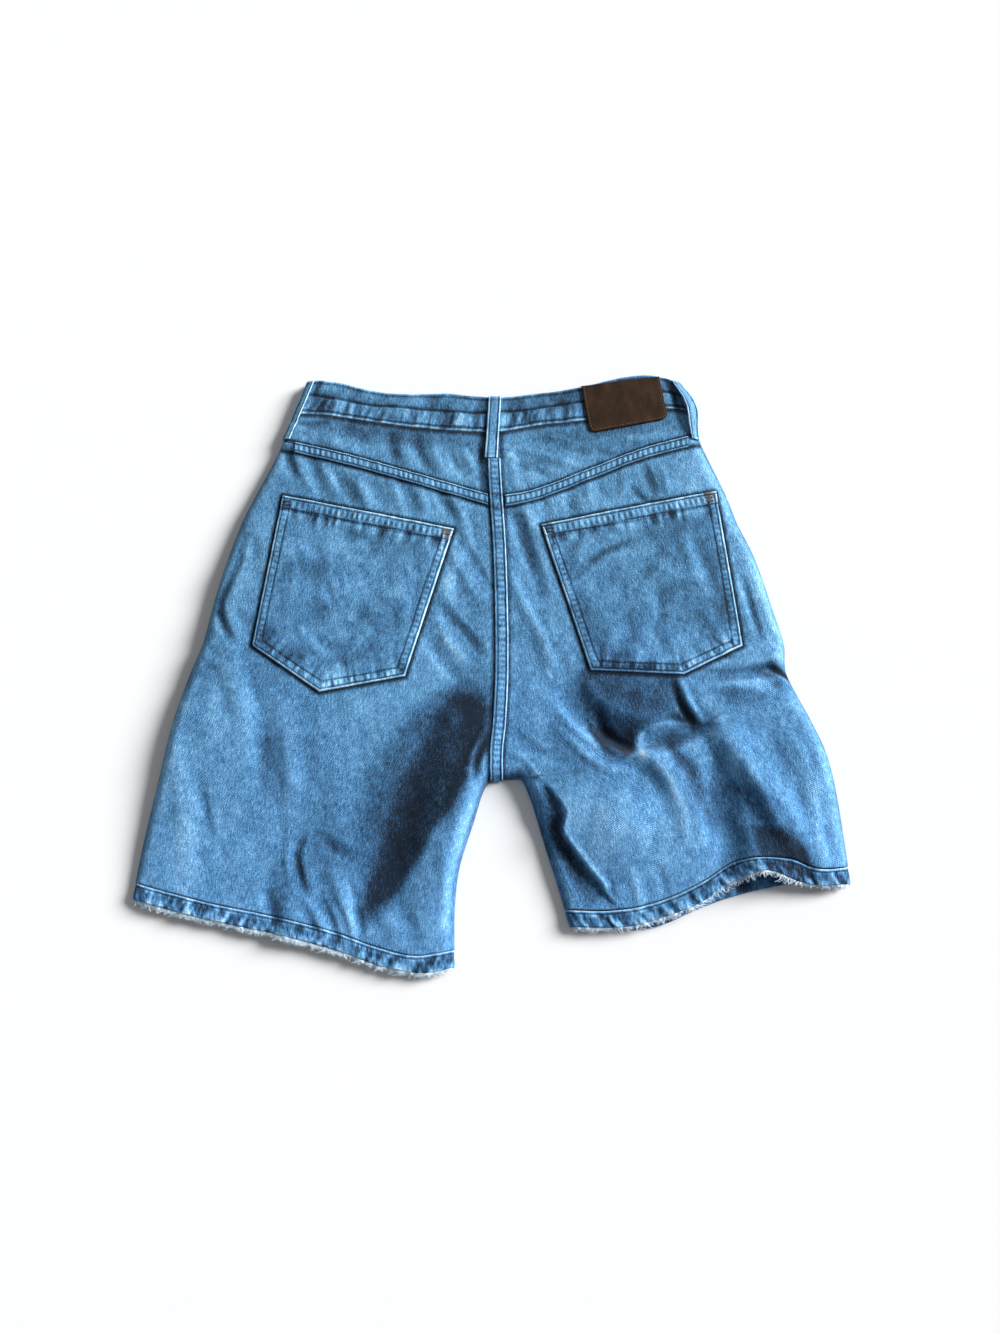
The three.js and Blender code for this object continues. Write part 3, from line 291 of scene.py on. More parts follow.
        (9, 9, .3, 1.3, .3, [(232, -96), (252, -136), (268, -170)]),
        (11, 8, -.4, -1.8, -1.2, [(262, -140), (280, -170), (290, -200)]),
        (8, 10, .5, 2, .7, [(290, -110), (302, -160), (306, -204)]),
        (8, 8, -.3, -1.2, -.3, [(250, -60), (272, -96), (290, -130)]),
        (8, 8, .3, 1.3, .3, [(264, -50), (288, -90), (304, -130)]),
        (5, 5, -.3, -1.3, -.3, [(104, -200), (110, -214), (108, -232)]),
        (8, 8, .3, 1.4, .5, [(126, -196), (134, -216), (136, -238)]),
        (7, 7, -.3, -1.2, -.5, [(150, -194), (158, -210), (160, -230)]),
    ],
}
# Worn places, painted shade in hollows, on slopes and under the waistband, and painted highlights on ridges:
# half widths, strength (pale positive) and points
TONES = [
    (24, 24, .2, [(-298, -50), (-286, -140), (-276, -215)]),
    (20, 22, .12, [(-194, -40), (-186, -110), (-182, -170)]), (14, 15, -.25, [(-214, -70), (-209, -124)]),
    (10, 10, -.2, [(-268, -110), (-256, -176)]), (16, 18, -.3, [(-22, -112), (-42, -176), (-48, -236)]),
    (14, 14, -.45, [(-22, -102), (-31, -130), (-42, -156)]),
    (44, 44, -.24, [(-165, -110), (-165, -170), (-172, -230)]),
    (14, 12, -.45, [(168, -86), (182, -104), (186, -138)]),
    (5, 5, -.3, [(173, -30), (179, -46), (190, -68)]), (7, 8, .8, [(139, -74), (140, -100)]),
    (6, 6, -.4, [(97, -74), (103, -83), (114, -92)]), (7, 7, .35, [(98, -56), (103, -66)]),
    (12, 12, .3, [(222, -196), (240, -204)]), (10, 10, .35, [(218, -90), (226, -118)]),
    (10, 10, -.45, [(168, -76), (172, -106)]), (10, 10, -.25, [(190, -124), (192, -152)]),
    (22, 24, -.4, [(66, -34), (70, -70), (80, -104)]), (18, 18, -.2, [(30, -76), (60, -84)]),
    (14, 14, -.3, [(196, -32), (228, -36), (258, -42)]), (24, 24, -.35, [(30, 196), (80, 212), (150, 226)]),
    (16, 18, -.45, [(200, 130), (213, 100), (222, 60), (236, 22)]),
    (9, 10, -.6, [(250, -8), (266, -19), (284, -32)]),
    (12, 14, -.35, [(178, -104), (196, -140), (198, -184)]),
    (12, 20, -.95, [(54, -132), (64, -176), (92, -222)]), (44, 44, .28, [(92, -150), (132, -160)]),
    (5, 5, -1.3, [(262, -5), (275, -13), (292, -26)]), (11, 11, -.5, [(24, 142), (34, 104), (46, 64)]),
    (12, 14, .3, [(-42, 104), (-40, 56)]), (9, 9, -.4, [(-98, 224), (-94, 196)]),
    (10, 9, -.35, [(-74, 218), (-60, 188)]), (8, 7, -.5, [(-14, 228), (-12, 168)]),
    (14, 14, .1, [(18, 218), (22, 178)]), (10, 8, -.45, [(-200, 212), (-194, 186)]),
    (8, 8, -.4, [(-186, 238), (-170, 236)]), (10, 10, -.35, [(-48, 164), (-38, 142)]),
    (12, 10, -.3, [(-146, 176), (-132, 152)]), (8, 8, -.35, [(148, 196), (158, 166)]),
    (20, 12, -.35, [(-18, 50), (-15, -20), (-24, -72)]), (22, 22, -.9, [(16, 250), (74, 256)]),
    (15, 15, -.45, [(-160, 236), (-90, 224), (-20, 220)]),
    (15, 15, -.4, [(20, 222), (90, 230), (170, 242)]), (7, 7, -.5, [(173, -22), (180, -44), (191, -64)]),
    (10, 10, -.3, [(76, 168), (80, 142)]), (8, 8, -.25, [(136, 170), (156, 156)]),
    (6, 7, -.5, [(-240, 122), (-254, 72), (-260, 50), (-250, 22)]), (7, 7, -.4, [(242, 78), (256, 18)]),
    (14, 14, .25, [(-252, -10), (-266, -60)]), (16, 16, .22, [(300, -120), (306, -200)]),
    (12, 12, .25, [(130, -200), (136, -232)]),
    (8, 10, .12, [(150, -96), (162, -112), (177, -150), (174, -180)]), (9, 9, .3, [(196, -30), (212, -60)]),
    (9, 9, .12, [(16, 90), (46, 22), (64, -40)]), (8, 8, -.35, [(-174, -168), (-178, -190), (-171, -218)]),
    (12, 12, -.3, [(-156, -170), (-130, -184)]), (14, 14, -.5, [(-200, -208), (-192, -244)]),
    (9, 9, -.35, [(84, 82), (112, 106), (138, 114)]), (9, 9, .3, [(-60, 30), (-28, -4)]),
    (10, 10, -.3, [(-50, 54), (-12, 6)]), (20, 20, -.2, [(-60, -60), (-20, -20)]),
    (6, 6, .5, [(-12, -84), (-22, -108)]), (6, 6, -.6, [(-11, -90), (-15, -116)]),
]
# Painted shade on slopes that face away from the light and in hollows: strength and a closed outline of x, y
# and how softly it fades there
SLOPE_SHADE = [
    (-.5, [
        (0, -31, 20), (0, -70, 8), (-4, -89, 8), (-24, -108, 8), (-32, -126, 8), (-42, -145, 8),
        (-56, -163, 8), (-63, -182, 8), (-75, -201, 8), (-82, -219, 8), (-100, -240, 9), (-116, -252, 9),
        (-124, -240, 10), (-118, -210, 16), (-116, -184, 24), (-120, -150, 30), (-120, -118, 30),
        (-104, -88, 30), (-80, -60, 26), (-50, -34, 22),
    ]),
    (-.6, [
        (-34, -30, 16), (-8, -48, 12), (-2, -88, 8), (-20, -108, 7), (-28, -126, 7), (-38, -145, 7),
        (-53, -163, 7), (-62, -182, 7), (-76, -201, 7), (-89, -219, 7), (-106, -236, 8), (-118, -238, 8),
        (-113, -212, 10), (-102, -190, 14), (-98, -165, 18), (-92, -140, 22), (-82, -118, 22),
        (-64, -88, 20), (-50, -56, 16),
    ]),
    (-.62, [
        (79, -22, 14), (86, -45, 9), (89, -62, 6), (94, -79, 5), (106, -93, 4), (124, -98, 4),
        (133, -89, 3), (135, -75, 3), (138, -67, 3), (150, -59, 5), (163, -56, 5), (171, -59, 4),
        (180, -66, 3), (190, -71, 3), (189, -57, 4), (178, -45, 4), (172, -32, 5), (174, -19, 8),
        (176, -8, 8), (153, -6, 8), (120, -8, 8), (88, -6, 10),
    ]),
    (-.3, [
        (92, -68, 8), (95, -79, 4), (107, -92, 3), (124, -97, 3), (133, -90, 3), (135, -77, 4),
        (133, -70, 6), (118, -70, 8), (104, -62, 9),
    ]),
    (-.28, [
        (202, -122, 14), (230, -116, 14), (259, -128, 12), (270, -148, 12), (286, -174, 10),
        (292, -202, 12), (280, -212, 12), (254, -196, 14), (233, -176, 16), (212, -152, 16),
    ]),
    (-.9, [
        (240, -160, 12), (268, -160, 10), (288, -182, 8), (294, -204, 9), (281, -212, 9), (258, -202, 10),
        (240, -184, 12),
    ]),
]
print("creases:", sum(len(rows) for rows in CREASES.values()), "tones:", len(TONES))

# %% [markdown]
# ## Curves
# An outline is a centripetal Catmull-Rom curve through its points, kept as many short steps with the share
# of the length at each, so that any place on it can be read by interpolation.

# %% Curves
def lengths_along(points):
    """The length of a polyline from its start to each of its points."""
    return np.concatenate([[0], np.cumsum(np.linalg.norm(np.diff(points, axis=0), axis=1))])


def as_curve(points):
    """A polyline as (points, shares of its length)."""
    lengths = lengths_along(points)
    return points, lengths / lengths[-1]


def line_length(points):
    """A polyline's whole length."""
    return float(np.linalg.norm(np.diff(points, axis=0), axis=1).sum())


def length_of(curve):
    """A curve's whole length."""
    return line_length(curve[0])


def spline(rows, steps=24):
    """A curve through rows as (points, shares).

    Between rows i and i + 1 it is the cubic whose end slopes come from the neighbours, each weighed by the
    square root of its distance; the ends are mirrored.
    """
    rows = np.array(rows, float)
    rows = np.vstack([2 * rows[0] - rows[1], rows, 2 * rows[-1] - rows[-2]])
    span = np.maximum(np.linalg.norm(np.diff(rows, axis=0), axis=1) ** 0.5, 1e-6)
    pieces = []
    t = np.linspace(0, 1, steps, endpoint=False)[:, None]
    for i in range(1, len(rows) - 2):
        a, b, c, d = rows[i - 1:i + 3]
        before, here, after = span[i - 1], span[i], span[i + 1]
        m1 = here * ((b - a) / before - (c - a) / (before + here) + (c - b) / here)
        m2 = here * ((c - b) / here - (d - b) / (here + after) + (d - c) / after)
        pieces.append(b + t * m1 + t**2 * (3 * (c - b) - 2 * m1 - m2) + t**3 * (2 * (b - c) + m1 + m2))
    return as_curve(np.vstack(pieces + [rows[-2:-1]]))


def at(curve, share):
    """The points of the curve at the given shares of its length."""
    points, shares = curve
    return np.stack([np.interp(share, shares, points[:, i]) for i in range(points.shape[1])], -1)


def part_of(curve, start, end):
    """A function from a share of the stretch start..end to its point."""
    return lambda share: at(curve, start + (end - start) * np.asarray(share, float))


def share_at_y(curve, y):
    """The share at which a falling curve comes down to height y."""
    return float(np.interp(-y, np.maximum.accumulate(-curve[0][:, 1]), curve[1]))


def share_at_x(curve, x):
    """The share at which a curve that runs along +X reaches x."""
    return float(np.interp(x, np.maximum.accumulate(curve[0][:, 0]), curve[1]))


def unit(vectors):
    """The vectors divided by their own lengths."""
    return vectors / np.maximum(np.linalg.norm(vectors, axis=-1, keepdims=True), 1e-9)


def blend(start, end, share):
    """Points between start and end: start × (1 - share) + end × share."""
    return start * (1 - share[..., None]) + end * share[..., None]


def smooth(t):
    """3t² - 2t³ between 0 and 1, flat outside."""
    t = np.clip(t, 0, 1)
    return t * t * (3 - 2 * t)


def bump(t):
    """(1 - t²)² within 1 of the middle, 0 outside."""
    return np.clip(1 - np.square(t), 0, 1) ** 2


outseam = {side: spline(rows) for side, rows in OUTSEAM.items()}
inseam = {side: spline(rows) for side, rows in INSEAM.items()}
centre_back = spline(CENTRE_BACK)


def between_sides(rows):
    """A curve across the waist whose two ends are moved onto the side seams."""
    left = at(outseam["left"], share_at_y(outseam["left"], rows[0][1]))
    right = at(outseam["right"], share_at_y(outseam["right"], rows[-1][1]))
    return spline([tuple(left), *rows[1:-1], tuple(right)])


waist_top = between_sides(WAIST_TOP)
waist_seam = between_sides(WAIST_SEAM)
yoke_seam = {side: spline(rows) for side, rows in YOKE_SEAM.items()}
print("waist seam", round(length_of(waist_seam)), "mm")

# %% [markdown]
# ## The lie of the back
# Two rasters with one cell a millimetre hold what every piece reads: how far a place is from the folded
# edge, and how high the back stands there. Noise is a lattice of random values, blended smoothly.

# %% Rasters, noise and strokes
RASTER_X = np.arange(-352.0, 353.0)
RASTER_Y = np.arange(-312.0, 313.0)
GRID_X, GRID_Y = np.meshgrid(RASTER_X, RASTER_Y)


def read(field, x, y):
    """A raster's value at x, y, blended between its four nearest cells."""
    u = np.clip(x - RASTER_X[0], 0, len(RASTER_X) - 1.001)
    v = np.clip(y - RASTER_Y[0], 0, len(RASTER_Y) - 1.001)
    i, j = u.astype(int), v.astype(int)
    u, v = u - i, v - j
    low = field[j, i] * (1 - u) + field[j, i + 1] * u
    high = field[j + 1, i] * (1 - u) + field[j + 1, i + 1] * u
    return low * (1 - v) + high * v


def noise(x, y, seed):
    """Smooth values from -1 to 1 that change over about one unit of x and y."""
    lattice = np.random.default_rng(seed).uniform(-1, 1, (257, 257))
    i, j = np.floor(x).astype(int), np.floor(y).astype(int)
    u, v = smooth(x - i), smooth(y - j)
    i0, j0, i1, j1 = i % 256, j % 256, (i + 1) % 256, (j + 1) % 256
    low = lattice[j0, i0] * (1 - u) + lattice[j0, i1] * u
    high = lattice[j1, i0] * (1 - u) + lattice[j1, i1] * u
    return low * (1 - v) + high * v


def noise_along(length, pitch, seed):
    """Noise that changes over about one pitch of a length."""
    return noise(length / pitch, length * 0, seed)


def nearest_on(points, x, y):
    """For each x, y: the distance to a polyline, the signed distance to its left, and the share along it."""
    lengths = lengths_along(points)
    best = np.full(x.shape, 1e9)
    side = np.zeros(x.shape)
    share = np.zeros(x.shape)
    for (ax, ay), (bx, by), start in zip(points[:-1], points[1:], lengths[:-1]):
        dx, dy = bx - ax, by - ay
        length = math.hypot(dx, dy)
        t = np.clip(((x - ax) * dx + (y - ay) * dy) / length**2, 0, 1)
        ex, ey = x - ax - t * dx, y - ay - t * dy
        distance = np.hypot(ex, ey)
        closer = distance < best
        best = np.where(closer, distance, best)
        side = np.where(closer, (ey * dx - ex * dy) / length, side)
        share = np.where(closer, (start + t * length) / lengths[-1], share)
    return best, side, share


def window(points, reach):
    """The raster's rows and columns within reach of a polyline."""
    (x0, y0), (x1, y1) = points.min(0) - reach, points.max(0) + reach
    columns = slice(max(0, int(x0 - RASTER_X[0])), int(x1 - RASTER_X[0]) + 2)
    rows = slice(max(0, int(y0 - RASTER_Y[0])), int(y1 - RASTER_Y[0]) + 2)
    return rows, columns


def near(points, reach):
    """The raster's cells within reach of a polyline, and what nearest_on says for them."""
    cells = window(points, reach)
    return cells, *nearest_on(points, GRID_X[cells], GRID_Y[cells])


def stroke(field, points, left, right, start, middle, end):
    """Adds a ridge or trough to a raster.

    Its height along the line is a parabola through start, middle and end. Across the line that is multiplied
    by (1 - (distance / half width)²)².
    """
    cells, distance, side, t = near(points, max(left, right))
    height = start * (1 - t) * (1 - 2 * t) + middle * 4 * t * (1 - t) + end * t * (2 * t - 1)
    field[cells] += height * bump(distance / np.where(side > 0, left, right))


def region(field, rows, strength):
    """Adds strength inside a closed outline of x, y, softness.

    It fades as the smooth step of 1/2 + distance inside ÷ softness.
    """
    outline = np.array(rows + rows[:1], float)
    cells, distance, _, share = near(outline[:, :2], outline[:, 2].max())
    x, y = GRID_X[cells], GRID_Y[cells]
    softness = np.interp(share, as_curve(outline[:, :2])[1], outline[:, 2])
    within = np.zeros(x.shape, bool)
    for (ax, ay, _), (bx, by, _) in zip(outline[:-1], outline[1:]):
        if ay != by:
            within ^= ((ay > y) != (by > y)) & (x < ax + (y - ay) * (bx - ax) / (by - ay))
    field[cells] += strength * smooth(0.5 + np.where(within, distance, -distance) / softness)


def blur(field, radius):
    """The raster seen through a Gaussian of the given radius."""
    fy = np.fft.fftfreq(field.shape[0])[:, None]
    fx = np.fft.rfftfreq(field.shape[1])[None, :]
    kept = np.exp(-2 * (np.pi * radius) ** 2 * (fx**2 + fy**2))
    return np.fft.irfft2(np.fft.rfft2(field) * kept, s=field.shape)


def thinned(curve, step=4.0):
    """The curve's points about step apart."""
    return at(curve, np.linspace(0, 1, max(4, int(length_of(curve) / step))))


# %% [markdown]
# The edge raster is signed: it is below 0 outside the folded edges. The waist and the hems are open, so they
# are not in it.

# %% Distance from the folded edge
edge_distance = np.full(GRID_X.shape, 1e9)
edge_side = np.ones(GRID_X.shape)
FOLDED_EDGES = [(outseam["left"], 1), (inseam["left"], -1), (inseam["right"], 1), (outseam["right"], -1)]
for curve, turn in FOLDED_EDGES:
    distance, side, _ = nearest_on(thinned(curve, 5.0), GRID_X, GRID_Y)
    closer = distance < edge_distance
    edge_distance = np.where(closer, distance, edge_distance)
    edge_side = np.where(closer, np.sign(side) * turn, edge_side)
edge = edge_distance * np.where(edge_side == 0, 1, edge_side)
print("folded edge, widest half:", round(float(edge.max())), "mm")

# %% [markdown]
# ## Height of the back
# The plateau is a smooth table over Y for each half, blended across the seat. Folds, creases, puckers beside
# the seams and a faint crumple are added to it.

# %% Height of the back
def table_at(rows, y, column):
    """A smooth cubic through the rows of a table, read at y."""
    knots, values = rows[:, 0], rows[:, column]
    slope_shade = np.diff(values) / np.diff(knots)
    ends = (values[2:] - values[:-2]) / (knots[2:] - knots[:-2])
    tangents = np.concatenate([[slope_shade[0]], ends, [slope_shade[-1]]])
    i = np.clip(np.searchsorted(knots, y) - 1, 0, len(knots) - 2)
    span = knots[i + 1] - knots[i]
    t = np.clip((y - knots[i]) / span, 0, 1)
    return (values[i] * (2 * t**3 - 3 * t**2 + 1) + values[i + 1] * (3 * t**2 - 2 * t**3)
            + span * (tangents[i] * (t**3 - 2 * t**2 + t) + tangents[i + 1] * (t**3 - t**2)))


across = smooth((GRID_X + 40) / 80)
crown = table_at(PLATEAU, GRID_Y, 1) * (1 - across) + table_at(PLATEAU, GRID_Y, 2) * across
for x0, y0, x1, y1, bow, left, right, start, middle, end in LARGE_FOLDS:
    t = np.linspace(0, 1, 15)[:, None]
    run = np.array([x1 - x0, y1 - y0], float)
    normal = np.array([-run[1], run[0]]) / np.linalg.norm(run)
    line = np.array([x0, y0]) + t * run + 4 * bow * t * (1 - t) * normal
    stroke(crown, line, left, right, start, middle, end)

for rows in CREASES.values():
    for left, right, start, middle, end, points in rows:
        stroke(crown, thinned(spline(points, 6)), left, right, start, middle, end)


def puckers(points, reach, pitch, depth, seed):
    """Short uneven ripples beside a seam: depth × noise(length / pitch) × (1 - distance / reach)^1.5."""
    cells, distance, _, share = near(points, reach)
    length = share * line_length(points) / pitch
    ripple = noise(length, distance / 14 + 9, seed) + 0.6 * noise(length * 1.9, distance / 9, seed + 1)
    crown[cells] += depth * ripple * np.clip(1 - distance / reach, 0, 1) ** 1.5


def pocket_lines(side):
    """The pocket's top edge, and the line from its inside corner down and round to the outside one."""
    p = {name: np.array(value, float) for name, value in POCKETS[side].items()}
    return (np.array([p["outside"], p["inside"]]),
            np.array([p["inside"], p["low_in"], p["tip"], p["low_out"], p["outside"]]))


def pocket_outline(side):
    """The pocket's corners in order round it."""
    body = pocket_lines(side)[1]
    return np.vstack([body, body[:1]])


yoke_line = {side: thinned(curve) for side, curve in yoke_seam.items()}
centre_line, waist_line = thinned(centre_back), thinned(waist_seam)
puckers(yoke_line["left"], 26, 7.5, 0.55, 11)
puckers(yoke_line["right"], 22, 8, 0.45, 13)
puckers(centre_line, 24, 8, 0.5, 15)
puckers(waist_line, 20, 9, 0.4, 17)
for k, side in enumerate(SIDE):
    puckers(pocket_outline(side), 14, 7, 0.35, 21 + 2 * k)
    puckers(thinned(spline(HEM_BACK[side])), 34, 8.5, 0.55, 31 + 2 * k)

# the crumple is drawn out along a line that leans a little to the left
lean = GRID_X * 0.94 + GRID_Y * 0.34
climb = GRID_Y * 0.94 - GRID_X * 0.34
crown += 0.42 * noise(lean / 19, climb / 34, 41) + 0.26 * noise(lean / 9, climb / 15, 42)
crown += 0.14 * noise(GRID_X / 4.5, GRID_Y / 5.5, 43)


def front_waist_y(x):
    """Where the front meets the waistband: the back's waist seam, dipped by 12 mm × sin(pi × share)."""
    share = np.clip((x - WAIST_SEAM[0][0]) / (WAIST_SEAM[-1][0] - WAIST_SEAM[0][0]), 0, 1)
    return at(waist_seam, share)[..., 1] - FRONT_DIP * np.sin(np.pi * share)


def front_lift(x, y):
    """How far the front stands off the surface near the thick waistband."""
    return FRONT_LIFT * (1 - smooth((front_waist_y(x) - y - LIFT_FLAT) / (LIFT_END - LIFT_FLAT)))


def back_height(x, y, foot=None):
    """Height of the back's outer face.

    It starts at foot on the folded edge, rolls up over the roll radius as a quarter circle, and creeps to its
    full rise as 1 - exp(-distance / 45).
    """
    if foot is None:
        foot = front_lift(x, y) + SOLID_CLOTH + GAP
    distance = np.maximum(0, read(edge, x, y) - EDGE_TOLERANCE)
    rise = np.maximum(3, read(crown, x, y) - foot)
    radius = np.clip(rise, ROLL_LEAST, ROLL_MOST)
    roll = np.sqrt(1 - (1 - np.clip(distance / radius, 0, 1)) ** 2)
    return foot + rise * (ROLL_SHARE * roll + (1 - ROLL_SHARE) * (1 - np.exp(-distance / CROWN_REACH)))


SLOPE_STEP = 0.8


def on_back(xy, out=0.0, foot=None):
    """Points of the back moved out along its normal, and the normals."""
    x, y = xy[..., 0], xy[..., 1]
    dx = back_height(x + SLOPE_STEP, y, foot) - back_height(x - SLOPE_STEP, y, foot)
    dy = back_height(x, y + SLOPE_STEP, foot) - back_height(x, y - SLOPE_STEP, foot)
    normal = unit(np.stack([-dx, -dy, np.full_like(dx, 2 * SLOPE_STEP)], -1))
    z = back_height(x, y, foot)
    return np.stack([x, y, z], -1) + normal * np.asarray(out)[..., None], normal


height = back_height(GRID_X, GRID_Y)
print("highest place:", round(float(height.max()), 1), "mm")

# %% [markdown]
# ## Wear and painted shading
# Denim wears pale on its ridges, and its hollows get painted shade. The wear_and_shading raster is the height
# less its own blur, at two widths, plus the painted tones (wear, painted shade and painted highlights), the
# painted shade on slopes that face away from the light, a slow mottle, and painted shadow along raised edges.

# %% Wear and painted shading raster
OUTSIDE_HEIGHT = 8.0
inside = np.where(edge > 0, height, OUTSIDE_HEIGHT)
# pale wear on the ridges, and painted shade in the hollows
fine = np.clip((inside - blur(inside, 3)) * 1.1, -0.5, 0.5)
broad = np.clip((inside - blur(inside, 9)) * 0.22, -0.5, 0.5)
wear_and_shading = 0.36 * fine + 0.22 * broad
TONE_ENDS = 0.55
for left, right, strength, points in TONES:
    weak = strength * TONE_ENDS
    stroke(wear_and_shading, thinned(spline(points, 6)), left, right, weak, strength, weak)
# painted shade on slopes and in hollows, blurred a little
slope_shade = np.zeros(GRID_X.shape)
for strength, rows in SLOPE_SHADE:
    region(slope_shade, rows, strength)
wear_and_shading += blur(slope_shade, 1.3)
wear_and_shading += 0.1 * noise(GRID_X / 2.4 + 0.2 * noise(GRID_X / 30, GRID_Y / 30, 55), GRID_Y / 13, 54)
wear_and_shading += (0.16 * noise(GRID_X / 42, GRID_Y / 60, 51) + 0.1 * noise(GRID_X / 15, GRID_Y / 22, 52)
         + 0.07 * noise(GRID_X / 6, GRID_Y / 9, 53))
# painted shade a little way beside the raised seam strips
for line in (yoke_line["left"], yoke_line["right"], centre_line):
    cells, distance, _, _ = near(line, 16)
    wear_and_shading[cells] -= 0.12 * bump((distance - 6) / 5)
panel_wear_and_shading = wear_and_shading.copy()
# painted shadow along raised edges, round the pockets, under the waistband, beside the seam strips and the
# centre loop: line, reach, depth, and whether only its lower side is dark
SHADOW_LINES = [
    *[(pocket_outline(side), 4.5, 1.5, False) for side in SIDE],
    (waist_line, 6, 1.1, True),
    *[(yoke_line[side] - [0, 9.6], 3.2, 1.3, False) for side in SIDE],
    *[(yoke_line[side] + [0, 2.8], 3, 1.2, False) for side in SIDE],
    (centre_line - [7.2, 0], 3.2, 0.8, False), (centre_line + [7.2, 0], 3.0, 0.7, False),
    (np.array([(-4, 262), (-7.5, 201)]), 8, 0.6, False), (np.array([(9, 262), (5.5, 201)]), 4, 0.35, False),
]
for line, reach, depth, below_only in SHADOW_LINES:
    cells, distance, beside, _ = near(line, reach)
    wear_and_shading[cells] -= depth * bump(distance / reach) * ((beside < 0.5) if below_only else 1)


def wear_and_shading_at(xy):
    """The wear and painted shading at the points of a plan."""
    return read(wear_and_shading, xy[..., 0], xy[..., 1])


print("fade from", round(float(wear_and_shading.min()), 2), "to", round(float(wear_and_shading.max()), 2))

# %% [markdown]
# ## Making meshes
# A sheet is a grid of points for its outer face. Its inner face is the same grid moved in along the normals,
# and the rims are closed. Each point keeps a value of wear and painted shading, and the UV map holds lengths
# along the cloth.

# %% Mesh helpers
def grid_normals(points, ring=False):
    """Unit normals of a grid. Rows run towards -Y and columns along +X, so row step × column step is out."""
    down = np.gradient(points, axis=0)
    if ring:
        right = np.roll(points, -1, 1) - np.roll(points, 1, 1)
    else:
        right = np.gradient(points, axis=1)
    return unit(np.cross(down, right))


def running_length(points, axis):
    """Lengths along the rows or columns of a grid, from its start."""
    steps = np.linalg.norm(np.diff(points, axis=axis), axis=-1)
    return np.concatenate([np.zeros_like(np.take(steps, [0], axis)), np.cumsum(steps, axis)], axis)


def cloth_lengths(points):
    """Lengths along the cloth as UV, in metres: along each row from its middle, and down each column."""
    along = running_length(points, 1)
    along -= along[:, along.shape[1] // 2][:, None]
    return np.stack([along, -running_length(points, 0)], -1) * MM


def make_mesh(name, points, faces, material, wear_and_shading_values=None, uv=None):
    """A smooth mesh object from points in millimetres, with wear and painted shading and a cloth coordinate for
    each.
    """
    mesh = bpy.data.meshes.new(name)
    mesh.from_pydata((np.asarray(points, float).reshape(-1, 3) * MM).tolist(), [], np.asarray(faces).tolist())
    mesh.shade_smooth()
    if wear_and_shading_values is not None:
        attribute = mesh.attributes.new("wear_and_shading", "FLOAT", "POINT")
        attribute.data.foreach_set("value", np.asarray(wear_and_shading_values, np.float32).ravel())
    if uv is not None:
        corner = np.zeros(len(mesh.loops), np.int32)
        mesh.loops.foreach_get("vertex_index", corner)
        corner_uv = np.asarray(uv, np.float32).reshape(-1, 2)[corner]
        mesh.uv_layers.new(name="cloth").data.foreach_set("uv", corner_uv.ravel())
    mesh.materials.append(material)
    thing = bpy.data.objects.new(name, mesh)
    bpy.context.scene.collection.objects.link(thing)
    return thing


def sheet_faces(rows, columns, ring=False):
    """Quads of a closed sheet with its outer grid first and its inner grid after it."""
    r, c = np.meshgrid(np.arange(rows - 1), np.arange(columns if ring else columns - 1), indexing="ij")
    nxt = (c + 1) % columns
    a, b, d, e = r * columns + c, (r + 1) * columns + c, (r + 1) * columns + nxt, r * columns + nxt
    n = rows * columns
    faces = [np.stack([a, b, d, e], -1).reshape(-1, 4), np.stack([a, e, d, b], -1).reshape(-1, 4) + n]
    c = np.arange(columns if ring else columns - 1)
    nxt = (c + 1) % columns
    last = (rows - 1) * columns
    faces.append(np.stack([c, nxt, nxt + n, c + n], -1))
    faces.append(np.stack([last + nxt, last + c, last + c + n, last + nxt + n], -1))
    if not ring:
        r = np.arange(rows - 1) * columns
        faces.append(np.stack([r + columns, r, r + n, r + columns + n], -1))
        far = r + columns - 1
        faces.append(np.stack([far, far + columns, far + columns + n, far + n], -1))
    return np.concatenate(faces)


def sheet_mesh(name, outer, thickness, material, wear_and_shading_values, ring=False, inner_wear_and_shading=0.1, normals=None):
    """A closed sheet from its outer grid. Its inner face lies in along the normals."""
    normals = grid_normals(outer, ring) if normals is None else np.broadcast_to(normals, outer.shape)
    inner = outer - normals * thickness
    points = np.concatenate([outer.reshape(-1, 3), inner.reshape(-1, 3)])
    uv = cloth_lengths(outer).reshape(-1, 2)
    both = [np.broadcast_to(value, outer.shape[:2]).ravel() for value in (wear_and_shading_values, inner_wear_and_shading)]
    faces = sheet_faces(outer.shape[0], outer.shape[1], ring)
    return make_mesh(name, points, faces, material, np.concatenate(both), np.concatenate([uv, uv]))


def flat_area(outer):
    """The area of a grid, in square metres."""
    diagonal = np.cross(outer[1:, 1:] - outer[:-1, :-1], outer[1:, :-1] - outer[:-1, 1:])
    return float(np.linalg.norm(diagonal, axis=-1).sum() / 2 * MM * MM)


# %% [markdown]
# ## Materials
# All denim shares one node group: a value of wear and painted shading runs through a ramp from indigo to pale
# blue, and a salt-and-pepper of warp slubs and grain is laid over it. The group also gives the weave's height.

# %% Node helpers
def new_group(name, inputs, outputs):
    """An empty shader node group with named sockets: (tree, its input node, its output node)."""
    tree = bpy.data.node_groups.new(name, "ShaderNodeTree")
    for way, sockets in (("INPUT", inputs), ("OUTPUT", outputs)):
        for label, kind in sockets:
            tree.interface.new_socket(label, in_out=way, socket_type=kind)
    return tree, tree.nodes.new("NodeGroupInput"), tree.nodes.new("NodeGroupOutput")


def feed(tree, socket, value):
    """Links a socket to another one, or sets its value."""
    if isinstance(value, bpy.types.NodeSocket):
        tree.links.new(value, socket)
    else:
        socket.default_value = value


def set_inputs(tree, node, **inputs):
    """Feeds a node's inputs by name, with _ for a space."""
    for label, value in inputs.items():
        feed(tree, node.inputs[label.replace("_", " ")], value)


